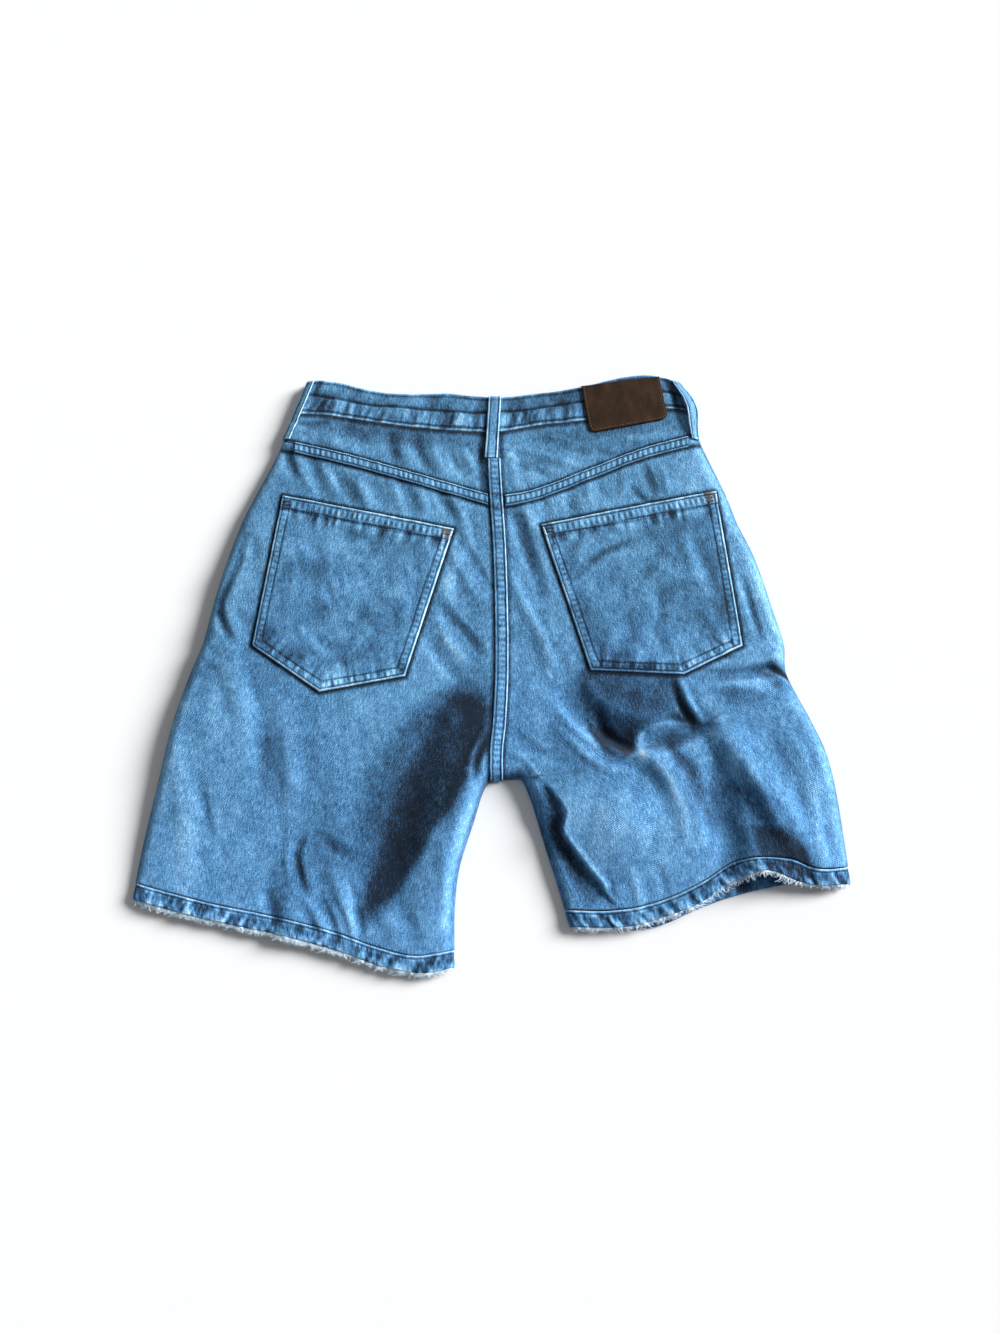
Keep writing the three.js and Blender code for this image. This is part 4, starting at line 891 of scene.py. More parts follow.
def put(tree, kind, **inputs):
    """Adds a node and feeds its inputs by name."""
    node = tree.nodes.new(kind)
    set_inputs(tree, node, **inputs)
    return node


def calc(tree, operation, a, b=0.0, c=0.0):
    """One math node's result."""
    node = tree.nodes.new("ShaderNodeMath")
    node.operation = operation
    for socket, value in zip(node.inputs, (a, b, c)):
        feed(tree, socket, value)
    return node.outputs[0]


def swing(tree, source, strength):
    """(source - 1/2) × strength."""
    return calc(tree, "MULTIPLY", calc(tree, "SUBTRACT", source, 0.5), strength)


def grainy(tree, place, scale, detail, roughness=0.5):
    """A noise texture's value."""
    node = put(tree, "ShaderNodeTexNoise", Vector=place, Scale=scale, Detail=detail, Roughness=roughness)
    return node.outputs[0]


def mixed(tree, blend_type, factor, a, b):
    """A colour mix node's result."""
    node = tree.nodes.new("ShaderNodeMix")
    node.data_type, node.blend_type = "RGBA", blend_type
    set_inputs(tree, node, Factor=factor, A=a, B=b)
    return node.outputs["Result"]


def ramp(tree, value, stops):
    """A colour ramp through (position, linear colour) stops."""
    node = tree.nodes.new("ShaderNodeValToRGB")
    elements = node.color_ramp.elements
    while len(elements) < len(stops):
        elements.new(0.5)
    for element, (position, color) in zip(elements, stops):
        element.position = position
        element.color = (*color, 1)
    tree.links.new(value, node.inputs[0])
    return node.outputs[0]


def new_material(name):
    """A material with an empty tree but its shader: (material, tree, shader)."""
    material = bpy.data.materials.new(name)
    material.use_nodes = True
    tree = material.node_tree
    return material, tree, tree.nodes["Principled BSDF"]


# %% [markdown]
# The weave: slubs run along the warp, and a fine twill line crosses them. Each texture swings about 0 and is
# added to the wear and painted shading, and the sum is looked up in the ramp of the dye. The legs are a purer
# blue than the seat and the waistband, in cloudy patches.

# %% Denim node group
DYE = [
    (0.0, (0.0066, 0.0130, 0.0240)), (0.2, (0.020, 0.047, 0.092)), (0.4, (0.042, 0.124, 0.242)),
    (0.55, (0.078, 0.216, 0.405)), (0.7, (0.138, 0.330, 0.562)), (0.85, (0.262, 0.495, 0.722)),
    (1.0, (0.530, 0.720, 0.850)),
]
UPPER_TINT, LOWER_TINT = (1.03, 1.01, 0.95, 1), (0.95, 0.99, 1.03, 1)
WEAR_AND_SHADING_GAIN, WEAR_AND_SHADING_MIDDLE = 0.46, 0.53


def denim_group():
    """Inputs: Cloth (lengths in metres), Place (object coordinates), Fade, Base. Outputs: Color, Height."""
    vector, number = "NodeSocketVector", "NodeSocketFloat"
    tree, given, result = new_group(
        "Denim",
        [("Cloth", vector), ("Place", vector), ("Fade", number), ("Base", number)],
        [("Color", "NodeSocketColor"), ("Height", number)],
    )
    cloth, place = given.outputs["Cloth"], given.outputs["Place"]
    along_warp = put(tree, "ShaderNodeMapping", Vector=cloth, Scale=(820, 170, 1)).outputs[0]
    slub = grainy(tree, along_warp, 1.0, 2.0)
    grain = grainy(tree, cloth, 720.0, 2.0, 0.65)
    mottle = grainy(tree, place, 95.0, 4.0, 0.6)
    twill_wave = put(tree, "ShaderNodeTexWave", Vector=cloth, Scale=330.0, Distortion=1.2)
    twill_wave.bands_direction = "DIAGONAL"
    twill = twill_wave.outputs["Fac"]
    value = calc(tree, "MULTIPLY_ADD", given.outputs["Fade"], WEAR_AND_SHADING_GAIN, WEAR_AND_SHADING_MIDDLE)
    for source, strength in ((slub, 0.72), (grain, 0.78), (mottle, 0.26), (twill, 0.09)):
        value = calc(tree, "ADD", value, swing(tree, source, strength))
    value = calc(tree, "ADD", value, given.outputs["Base"])
    up_the_body = put(tree, "ShaderNodeSeparateXYZ", Vector=place).outputs["Y"]
    cloud = swing(tree, grainy(tree, place, 11.0, 2.0), 1.6)
    low = calc(tree, "ADD", calc(tree, "MULTIPLY_ADD", up_the_body, -3.2, 0.45), cloud)
    tint = mixed(tree, "MIX", low, UPPER_TINT, LOWER_TINT)
    tree.links.new(mixed(tree, "MULTIPLY", 1.0, ramp(tree, value, DYE), tint), result.inputs["Color"])
    height = calc(tree, "ADD", calc(tree, "MULTIPLY", slub, 0.5), calc(tree, "MULTIPLY", grain, 0.6))
    height = calc(tree, "ADD", height, calc(tree, "MULTIPLY", twill, 0.25))
    tree.links.new(height, result.inputs["Height"])
    return tree


DENIM = denim_group()


def denim_material(name, base=0.0, solid=False):
    """Denim for the sheets, or for a plain solid that has no cloth coordinates."""
    material, tree, shader = new_material(name)
    place = tree.nodes.new("ShaderNodeTexCoord").outputs["Object"]
    group = tree.nodes.new("ShaderNodeGroup")
    group.node_tree = DENIM
    set_inputs(tree, group, Place=place, Base=base)
    if solid:
        tree.links.new(place, group.inputs["Cloth"])
    else:
        uv = tree.nodes.new("ShaderNodeUVMap")
        uv.uv_map = "cloth"
        wear_and_shading_node = tree.nodes.new("ShaderNodeAttribute")
        wear_and_shading_node.attribute_name = "wear_and_shading"
        set_inputs(tree, group, Cloth=uv.outputs[0], Fade=wear_and_shading_node.outputs["Fac"])
    weave = put(tree, "ShaderNodeBump", Height=group.outputs["Height"], Strength=0.8, Distance=0.0009)
    set_inputs(tree, shader, Base_Color=group.outputs["Color"], Normal=weave.outputs[0], Roughness=0.95,
               Specular_IOR_Level=0.1, Sheen_Weight=0.06, Sheen_Roughness=0.5)
    return material


denim = denim_material("denim")
denim_shade = denim_material("denim_shade", -0.03)
denim_hidden = denim_material("denim_hidden", -0.02, solid=True)

# %% [markdown]
# Thread, frayed yarn, leather and metal are plain materials with a little noise of their own.

# %% Other materials
def noisy_material(name, dark, light, scale, roughness, bump_height, specular=0.25, metallic=0.0):
    """A noise between two colours, with the same noise as relief."""
    material, tree, shader = new_material(name)
    place = tree.nodes.new("ShaderNodeTexCoord").outputs["Object"]
    pattern = grainy(tree, place, scale, 5.0, 0.62)
    surface = put(tree, "ShaderNodeBump", Height=pattern, Strength=0.6, Distance=bump_height)
    color = ramp(tree, pattern, [(0.3, dark), (0.7, light)])
    set_inputs(tree, shader, Base_Color=color, Normal=surface.outputs[0], Roughness=roughness,
               Metallic=metallic, Specular_IOR_Level=specular)
    return material


thread = noisy_material("thread_navy", (0.010, 0.024, 0.055), (0.030, 0.065, 0.130), 900, 0.7, 0.0002)
tan_thread = noisy_material("thread_tan", (0.130, 0.075, 0.035), (0.240, 0.150, 0.080), 900, 0.7, 0.0002)
frayed = noisy_material("frayed_yarn", (0.400, 0.600, 0.800), (0.860, 0.930, 0.970), 500, 0.9, 0.0002)
leather = noisy_material(
    "patch_leather", (0.014, 0.0065, 0.003), (0.034, 0.0165, 0.0075), 60, 0.72, 0.0004, specular=0.12)
button_metal = noisy_material(
    "button_metal", (0.300, 0.270, 0.220), (0.430, 0.400, 0.350), 300, 0.4, 0.0001,
    specular=0.5, metallic=0.9)

# %% [markdown]
# ## Panels
# A panel is a patch between four edges. u runs from its outer edge to the inner one and v from top to bottom.

# %% Panels
def coons(top, bottom, outer, inner, u, v):
    """The patch's points: both edge blends added, less the bilinear blend of the corners."""
    u, v = u[..., None], v[..., None]
    across_ends = top(u[..., 0]) * (1 - v) + bottom(u[..., 0]) * v
    along_ends = outer(v[..., 0]) * (1 - u) + inner(v[..., 0]) * u
    top_corners, bottom_corners = (outer(end) * (1 - u) + inner(end) * u for end in (0.0, 1.0))
    return across_ends + along_ends - (top_corners * (1 - v) + bottom_corners * v)


EDGE_STEPS = np.array([0, 0.35, 0.9, 1.7, 2.8, 4.2, 6.0, 8.0, 10.2, 12.4])


def close_at_edges(length, inner):
    """Shares across rows of the given lengths, close together at both folded edges."""
    length = np.atleast_1d(length)[:, None]
    steps = EDGE_STEPS / length
    middle = np.linspace(0, 1, inner + 2)[1:-1] * (1 - 2 * steps[:, -1:]) + steps[:, -1:]
    return np.concatenate([steps, middle, 1 - steps[:, ::-1]], 1)


def along_x(side, grid):
    """Grids whose columns run from outer to inner: the right side's are turned to run along +X."""
    return grid if side == "left" else grid[:, ::-1]


def hem_seam_line(side, free_rows):
    """The hem's seam: its free edge moved up by the band's width, with both ends on the folded edges."""
    free = spline(free_rows)
    ends = (outseam["left"], inseam["left"]) if side == "left" else (inseam["right"], outseam["right"])
    on_edges = [at(curve, share_at_y(curve, curve[0][-1, 1] + HEM_WIDTH)) for curve in ends]
    share = np.linspace(0, 1, 9)[1:-1]
    ahead = unit(at(free, share + 0.01) - at(free, share - 0.01))
    middle = at(free, share) + HEM_WIDTH * np.stack([-ahead[:, 1], ahead[:, 0]], -1)
    return spline([tuple(on_edges[0]), *map(tuple, middle), tuple(on_edges[1])])


hem_lines = {
    side: {
        layer: (hem_seam_line(side, rows[side]), spline(rows[side]))
        for layer, rows in (("back", HEM_BACK), ("front", HEM_FRONT))
    }
    for side in SIDE
}
HEM_GAP = {"left": SEAM_GAP, "right": 1.2}
CROTCH_SHARE = {"left": 0.635, "right": 0.665}


def shifted(curve, dx, dy):
    """The curve moved by dx, dy."""
    return lambda share: curve(share) + [dx, dy]


def inner_edge(side, seat_from, hem_y):
    """Down the seat and then down the inseam."""
    turn = CROTCH_SHARE[side]
    seat = shifted(part_of(centre_back, seat_from, 1), SIDE[side] * SEAM_GAP / 2, 0)
    leg = part_of(inseam[side], 0, share_at_y(inseam[side], hem_y))

    def edge_at(share):
        share = np.asarray(share, float)
        on_leg = leg(np.clip((share - turn) / (1 - turn), 0, 1))
        return np.where((share < turn)[..., None], seat(np.clip(share / turn, 0, 1)), on_leg)

    return edge_at


def across_half(curve, side, dy):
    """A half's edge from its outer end to the seat, where the halves keep their gap."""
    def edge_at(share):
        dx = np.asarray(share) * SIDE[side] * SEAM_GAP / 2
        return curve(share) + np.stack([dx, np.full_like(share, dy, dtype=float)], -1)

    return edge_at


def outer_edge(side, top, bottom):
    """The side seam between the outer ends of two edges."""
    curve = outseam[side]
    return part_of(curve, share_at_y(curve, top(0.0)[1]), share_at_y(curve, bottom(0.0)[1]))


def leg_edges(side, layer, top):
    """The four edges of a leg panel."""
    seam = hem_lines[side][layer][0]
    hem = part_of(seam, 0, 1) if side == "left" else part_of(seam, 1, 0)
    bottom = shifted(hem, 0, HEM_GAP[side])
    inner = inner_edge(side, share_at_y(centre_back, top(1.0)[1]), bottom(1.0)[1])
    return top, bottom, outer_edge(side, top, bottom), inner


def finished(thing, node):
    """Ties a piece to the solid that it stands for, and hides that solid."""
    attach(thing, "root")
    if node:
        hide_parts(node)


# %% [markdown]
# ## Back legs and yokes
# Their points stand on the height of the back. Each is one sheet of about two-millimetre cells.

# %% Back legs and yokes
def back_sheet(name, side, edges, widths, rows, inner):
    """A sheet on the back between four edges."""
    v = np.linspace(0, 1, rows)
    u = close_at_edges(np.interp(v, [0, 1], widths), inner)
    xy = along_x(side, coons(*edges, u, np.broadcast_to(v[:, None], u.shape)))
    points, _ = on_back(xy)
    return sheet_mesh(name, points, CLOTH, denim, wear_and_shading_at(xy)), flat_area(points)


for side in SIDE:
    top = across_half(part_of(yoke_seam[side], 0, 1), side, -GAP / 2)
    edges = leg_edges(side, "back", top)
    widths = (np.linalg.norm(top(0.0) - top(1.0)), length_of(hem_lines[side]["back"][0]))
    thing, area = back_sheet(f"back_leg_cloth_{side}", side, edges, widths, 236, 118)
    finished(thing, f"back_leg_{side}")
    print(thing.name, round(area, 4), "m2")

centre_share = share_at_x(waist_seam, CENTRE_BACK[0][0])
for side in SIDE:
    top = across_half(part_of(waist_seam, 0 if side == "left" else 1, centre_share), side, -GAP)
    bottom = across_half(part_of(yoke_seam[side], 0, 1), side, GAP / 2)
    seat = part_of(centre_back, share_at_y(centre_back, top(1.0)[1]), share_at_y(centre_back, bottom(1.0)[1]))
    edges = (top, bottom, outer_edge(side, top, bottom), shifted(seat, SIDE[side] * SEAM_GAP / 2, 0))
    width = np.linalg.norm(top(0.0) - top(1.0))
    thing, area = back_sheet(f"yoke_cloth_{side}", side, edges, (width, width), 44, 100)
    finished(thing, f"back_yoke_{side}")

# %% [markdown]
# ## Front legs
# The hidden front lies flat. Its top outer corner is bitten out in a quarter ellipse for the pocket.

# %% Front legs
SCOOP_ACROSS, SCOOP_DOWN, SCOOP_LIFT = 92.0, 74.0, 6.0
FRONT_LEVEL = 0.3


def front_top(side):
    """The front's top edge from the side seam: up the scoop and along the waistband to the centre."""
    start = at(outseam[side], share_at_y(outseam[side], float(front_waist_y(SIDE[side] * 198.0))))
    corner = np.array([start[0], float(front_waist_y(start[0])) - SEAM_GAP])
    inwards = -SIDE[side]
    angle = np.linspace(math.pi / 2, 0, 40)
    down = -SCOOP_DOWN * np.sin(angle) + SCOOP_LIFT * np.cos(angle)
    bite = corner + np.stack([inwards * SCOOP_ACROSS * np.cos(angle), down], -1)
    x = np.linspace(bite[-1, 0], CENTRE_BACK[0][0] + SIDE[side] * SEAM_GAP / 2, 30)
    line = np.stack([x, front_waist_y(x) - SEAM_GAP], -1)
    bite = bite[bite[:, 1] < front_waist_y(bite[:, 0]) - SEAM_GAP]
    return as_curve(np.vstack([bite, line[1:]]))


def flat_sheet(name, grid, level):
    """A sheet of the front whose outer face looks down. level is that face's height above the lift."""
    grid = grid[:, ::-1]
    x, y = grid[..., 0], grid[..., 1]
    points = np.concatenate([grid, (front_lift(x, y) + level)[..., None]], -1)
    shade = 0.25 * noise(x / 40, y / 60, 71) + 0.12 * noise(x / 9, y / 14, 72)
    return sheet_mesh(name, points, CLOTH, denim, shade, normals=(0.0, 0.0, -1.0)), flat_area(points)


for side in SIDE:
    edges = leg_edges(side, "front", part_of(front_top(side), 0, 1))
    v, u = np.meshgrid(np.linspace(0, 1, 90), np.linspace(0, 1, 60), indexing="ij")
    thing, area = flat_sheet(f"front_leg_cloth_{side}", along_x(side, coons(*edges, u, v)), FRONT_LEVEL)
    finished(thing, f"front_leg_{side}")

# %% [markdown]
# ## Hems
# Each hem is a ring of turned cloth, thick and rounded at its free edge, with the slanting ripples that
# washing pulls into it.

# %% Hems
TURN_ANGLES = np.radians([30.0, 60.0])
TURN_OUT, UNDER_Z = 0.1, 0.25
TURNED_WALL = 2.3
HEM_ROWS = 13


def rounded(distance, radius, depth):
    """How far an edge is drawn in: depth × (1 - sqrt(1 - (1 - distance/radius)²)) within radius of it."""
    t = np.clip(1 - distance / radius, 0, 1)
    return depth * (1 - np.sqrt(1 - t * t))


def turned_ends(grid_at, length, angles, foot):
    """The two round turns of a band at the folded edges.

    At angle a they lie radius × (1 - cos a) in from the edge and radius × sin a below foot.
    """
    inwards = TURN_RADIUS * (1 - np.cos(angles)) / length
    ends = []
    for share in (inwards, 1 - inwards):
        xy = grid_at(share)
        z = np.broadcast_to(foot - TURN_RADIUS * np.sin(angles) + TURN_OUT, xy.shape[:2])
        ends.append(np.concatenate([xy, z[..., None]], -1))
    return ends


def hem_grid(side):
    """The outer face of a hem as a ring, its wear and painted shading, and its back half's points and normals.
    """
    (back_seam, back_free), (front_seam, front_free) = hem_lines[side]["back"], hem_lines[side]["front"]
    length = length_of(back_seam)
    slant, torn = (7, 1.15) if side == "left" else (-7, 0.5)
    shares = close_at_edges(length, int(length / 1.35))[0]
    v = np.linspace(0, 1, HEM_ROWS)[:, None]
    over = blend(at(back_seam, shares)[None], at(back_free, shares)[None], v)
    s = shares[None] * length
    rope = noise((s + slant * v) / 4.1, v * 1.2, 81 + len(side))
    ripple = 0.95 * rope + 0.35 * noise(s / 2.1, v * 3, 85)
    groove = 0.55 * bump((v - 0.14) * HEM_WIDTH / 1.3)
    ends = rounded((1 - v) * HEM_WIDTH, 2.2, 1.5) + rounded(v * HEM_WIDTH, 1.2, 0.7)
    top, normal = on_back(over, ripple * np.clip(v * 5, 0, 1) - groove - ends - 0.2, TURN_RADIUS)

    # roping: pale where the ripples stand out and dark between them, which is wear and partly painted shading
    rope_shade = rope * (0.72 + 0.45 * noise_along(s, 24, 88)) + 0.5 * noise(s / 1.9, v * 3.5, 89)
    shade = 0.5 * wear_and_shading_at(over) - 0.12 + (rope_shade - 0.3 * bump((v - 0.45) / 0.3)) * np.clip(v * 4, 0, 1)
    # a pale worn line at the seam, and painted shade in the groove under it
    shade = shade + 1.1 * bump(v / 0.12) - 0.8 * bump((v - 0.16) / 0.08)
    shade = shade + (0.6 + 0.9 * noise_along(s, 3.3, 86)) * smooth((v - 0.8) / 0.2) * torn

    def front_at(share):
        return blend(at(front_seam, share)[None], at(front_free, share)[None], v)

    turn = TURN_RADIUS / length
    under = front_at(np.concatenate([[turn], np.linspace(0, 1, 90)[2:-2], [1 - turn]]))
    below = np.concatenate([under, np.full(under.shape[:2] + (1,), UNDER_Z)], -1)
    first, last = turned_ends(front_at, length, TURN_ANGLES, TURN_RADIUS)
    ring = np.concatenate([top, last, below[:, ::-1], first[:, ::-1]], 1)
    dull = np.zeros((HEM_ROWS, ring.shape[1] - top.shape[1]))
    stretch = 1.0 if side == "left" else 0.9
    inner_rope = noise(np.arange(ring.shape[1])[None] * stretch / 1.6, v * 1.5, 87)
    return ring, np.concatenate([shade, dull], 1), top, normal, inner_rope


hem_tops = {}
for side in SIDE:
    ring, shade, top, normal, inner_rope = hem_grid(side)
    hem_tops[side] = (top, normal)
    thickness = (TURNED_WALL + 0.4 * inner_rope)[..., None]
    # the inside that is seen under the hem: roping wear, darkened by painted shade
    inner_wear_and_shading = 0.75 * inner_rope - 0.25
    thing = sheet_mesh(f"hem_cloth_{side}", ring, thickness, denim, shade, ring=True, inner_wear_and_shading=inner_wear_and_shading)
    finished(thing, f"hem_{side}")

# %% [markdown]
# ## Waistband
# The back arch is smooth above its middle crease and puckered below it. Its two ends lie flat and overlap
# at the centre front.

# %% Waistband
BAND_ROWS = 34
BAND_STITCH_ROW = 0.90
LAP_REACH = 19.0


def band_xy(share, v, front=False):
    """A point of the waistband between its top edge and its seam. The front one is dipped."""
    xy = blend(at(waist_top, share), at(waist_seam, share), v)
    if front:
        xy = xy - np.stack([np.zeros_like(share), FRONT_DIP * np.sin(np.pi * share)], -1)
    return xy


band_length = length_of(waist_seam)
shares, v = np.meshgrid(close_at_edges(band_length, 300)[0], np.linspace(0, 1, BAND_ROWS))
xy = band_xy(shares, v)
s = shares * band_length
lower = smooth((v - 0.40) / 0.16)
middle_line = 0.44 + 0.05 * noise_along(s, 34, 91)
pucker = noise(s / 6.2 + 0.35 * noise(v * 3, s / 30, 92), v * 1.2, 93)
fold = noise(s / 17, v * 1.6, 94)
band_out = (
    lower * (1.2 * pucker + 0.6 * noise(s / 2.8, v * 4, 95)) * (1 - 0.6 * smooth((v - 0.86) / 0.1))
    + 0.9 * fold - 1.5 * bump((v - middle_line) / 0.08) * (0.7 + 0.4 * noise_along(s, 13, 96))
    - 0.6 * bump((v - BAND_STITCH_ROW) / 0.035) - rounded(v * 36, 1.8, 1.3) - rounded((1 - v) * 34, 1.4, 0.9)
)
arch, arch_normal = on_back(xy, band_out - 0.3, BAND_FOOT)
# painted shade on the band left of the centre loop and just inside both side loops
to_centre_loop = CENTRE_BACK[0][0] - WAIST_SEAM[0][0] - 12
shade_beside_loops = (0.5 * bump((s - to_centre_loop) / 9) + 0.7 * bump((s - 15) / 5)
                + 0.7 * bump((band_length - s - 15) / 5))
# pale worn top and lower edges; pale where puckers and folds stand out and dark between them, partly painted
# shading; painted shade in the middle crease, at the stitch row and beside the loops; a dark line near the top
# and a darker right half
band_wear_and_shading = (
    0.45 * wear_and_shading_at(xy) + lower * (0.38 * pucker + 0.45 * noise(s / 2.4 + 3 * v, v * 3, 99)) + 0.3 * fold
    - 0.8 * bump((v - middle_line) / 0.06) + 0.25 * noise(s / 24, v * 1.3, 97)
    + 0.95 * smooth((v - 0.93) / 0.05) - 0.75 * bump((v - 0.89) / 0.04)
    + 0.6 * (1 - smooth(v / 0.07)) - 0.6 * bump((v - 0.10) / 0.04)
    - shade_beside_loops - 0.2 * smooth((s - 205) / 20) + 0.22 * noise(s / 5.5 + 2 * v, v * 5, 100) - 0.12
)


def dipped_band(share):
    """The front band's plan at some shares of its length."""
    return band_xy(*np.meshgrid(share, np.linspace(0, 1, BAND_ROWS)), True)


first, last = turned_ends(dipped_band, band_length, np.append(TURN_ANGLES, math.pi / 2), BAND_FOOT)
band = np.concatenate([first[:, ::-1], arch, last], 1)
side_wear_and_shading = np.zeros((BAND_ROWS, 3))
band_shade = np.concatenate([side_wear_and_shading, band_wear_and_shading, side_wear_and_shading], 1)
thing = sheet_mesh("waistband_cloth_back", band, TURNED_WALL, denim, band_shade)
finished(thing, "waistband_back")

# each front end reaches past the centre, and the right one climbs over the left one there
end_share = (TURN_RADIUS + GAP) / band_length
lap_share = LAP_REACH / band_length
for name, from_share, to_share, lifted in (
    ("front_left", centre_share + lap_share, end_share, False),
    ("front_right", 1 - end_share, centre_share - lap_share, True),
):
    shares, v = np.meshgrid(np.linspace(from_share, to_share, 90), np.linspace(0, 1, 12))
    xy = band_xy(shares, v, True)
    near_lap = smooth((centre_share + 2.2 * lap_share - shares) / (1.1 * lap_share))
    lift = (BAND + GAP) * near_lap * lifted
    points = np.concatenate([xy, (FRONT_LIFT + FRONT_LEVEL + lift)[..., None]], -1)
    shade = 0.2 * noise(xy[..., 0] / 12, xy[..., 1] / 12, 98)
    thing = sheet_mesh(f"waistband_cloth_{name}", points, TURNED_WALL, denim, shade)
    finished(thing, f"waistband_{name}")

# %% [markdown]
# ## Felled seams
# A felled seam is a flat strip with two rows of stitches. The thread draws the strip in, so that it has a
# small pad of cloth between each pair of stitches, like a ladder.

# %% Felled seams
LADDER = 5.6


def ladder(length, seed):
    """Pads along a seam, uneven and LADDER apart: 1 on a pad and -1 between two."""
    drift = 0.35 * noise_along(length, 21, seed)
    return np.sin(2 * np.pi * (length / LADDER + drift)) * (0.75 + 0.25 * noise_along(length, 9, seed + 1))


SEAT_HALF, YOKE_HALF = 6.2, 5.6
SEAT_SEAM_TOP_Y = 200
# the yoke's strip lies this far below its line, and stops short of the side seam and of the seat seam
YOKE_DROP, YOKE_SIDE_STOP, YOKE_SEAT_STOP = 3.4, 13, 8.7
SEAM_STITCH, SEAM_WALL = 0.62, 0.8
SEAM_K = np.array([0, 0.2, 0.4, 0.54, 0.62, 0.7, 0.8, 0.9, 0.97, 1])
SEAM_K = np.concatenate([-SEAM_K[:0:-1], SEAM_K])


def seam_sheet(centres, offset, seed, lit_side, pad_share):
    """A strip whose rows follow centres and whose columns are centres + k × offset, k from -1 to 1.

    pad_share scales its pads; lit_side is the k of the edge that faces the light and gets a painted highlight.
    """
    k = SEAM_K
    xy = centres[:, None] + k[None, :, None] * np.array(offset)
    s = lengths_along(centres)[:, None]
    pads = pad_share * ladder(s, seed)
    inside_rows = 1 - smooth((np.abs(k) - 0.45) / 0.2)
    out = LAID_GAP + 0.85 + 0.5 * pads * inside_rows - 0.5 * bump((np.abs(k) - SEAM_STITCH) / 0.14)
    out = out + 0.35 * bump((k - lit_side * 0.86) / 0.16)
    points, normal = on_back(xy, out - rounded((1 - np.abs(k)) * np.linalg.norm(offset), 0.9, 0.8))
    # pale where the pads stand out, wear and partly painted shading; painted shade in the stitch grooves; both
    # edges worn pale, the lit one with a painted highlight on top
    shade = 0.4 * wear_and_shading_at(xy) + 0.2 - 0.14 * pad_share + 0.8 * pads * inside_rows
    shade = shade - (0.35 + pad_share) * bump((np.abs(k) - SEAM_STITCH) / 0.16)
    shade = shade + 0.95 * bump((k - lit_side * 0.9) / 0.16) + 0.6 * bump((k + lit_side * 0.92) / 0.14)
    return points, normal, shade + 0.1 * noise_along(s, 8, seed + 3)


seam_tracks = []
centres = at(centre_back, np.linspace(share_at_y(centre_back, SEAT_SEAM_TOP_Y), 1, 300))
points, normal, shade = seam_sheet(centres, (SEAT_HALF, 0.0), 101, 1, 0.42)
thing = sheet_mesh("seat_seam_cloth", points, SEAM_WALL, denim_shade, shade)
finished(thing, "seat_seam")
seam_tracks.append((points, normal, 104))

for side in SIDE:
    curve = yoke_seam[side]
    length = length_of(curve)
    shares = np.linspace(YOKE_SIDE_STOP / length, 1 - YOKE_SEAT_STOP / length, 230)
    centres = at(curve, shares) - [0, YOKE_DROP]
    if side == "right":
        centres = centres[::-1]
    points, normal, shade = seam_sheet(centres, (0.0, -YOKE_HALF), 111 + len(side), -1, 0.65)
    # this strip runs across the body, so its grid is turned for the mesh
    thing = sheet_mesh(f"yoke_seam_cloth_{side}", points.transpose(1, 0, 2), SEAM_WALL, denim_shade, shade.T)
    finished(thing, f"yoke_seam_{side}")
    seam_tracks.append((points, normal, 114 + len(side)))

# %% [markdown]
# ## Back pockets
# A pocket is a five-sided plate on the leg. Its distance from its own edge gives the rounding, the stitch
# grooves and the pale worn rim, and short streaks rise from the bottom seam.

# %% Back pockets
def inset(points, distance):
    """The polyline moved to its left by a distance, with mitred corners."""
    step = unit(np.diff(points, axis=0))
    left = np.stack([-step[:, 1], step[:, 0]], -1)
    turned = (left[:-1] + left[1:]) / (1 + (left[:-1] * left[1:]).sum(-1, keepdims=True))
    return points + distance * np.concatenate([left[:1], turned, left[-1:]])


def resampled(points, step=1.0):
    """The polyline with points about step apart."""
    count = max(2, int(lengths_along(points)[-1] / step))
    return at(as_curve(points), np.linspace(0, 1, count))


def fine_ends(first, count, skipped):
    """Shares from 0 to 1 that are close together at both ends."""
    first = np.array(first)
    return np.concatenate([first, np.linspace(0, 1, count)[skipped:-skipped], 1 - first[::-1]])


POCKET_THICK, POCKET_HEM_THICK, POCKET_HEM = 1.4, 2.2, 14.0
# distances of the stitch rows from the pocket's sides and from its top edge
SIDE_STITCHES, TOP_STITCHES = (2.4, 9.0), (2.4, 12.8)
BETWEEN_SIDE_STITCHES, BETWEEN_TOP_STITCHES = 5.7, 7.6
pocket_tracks = []


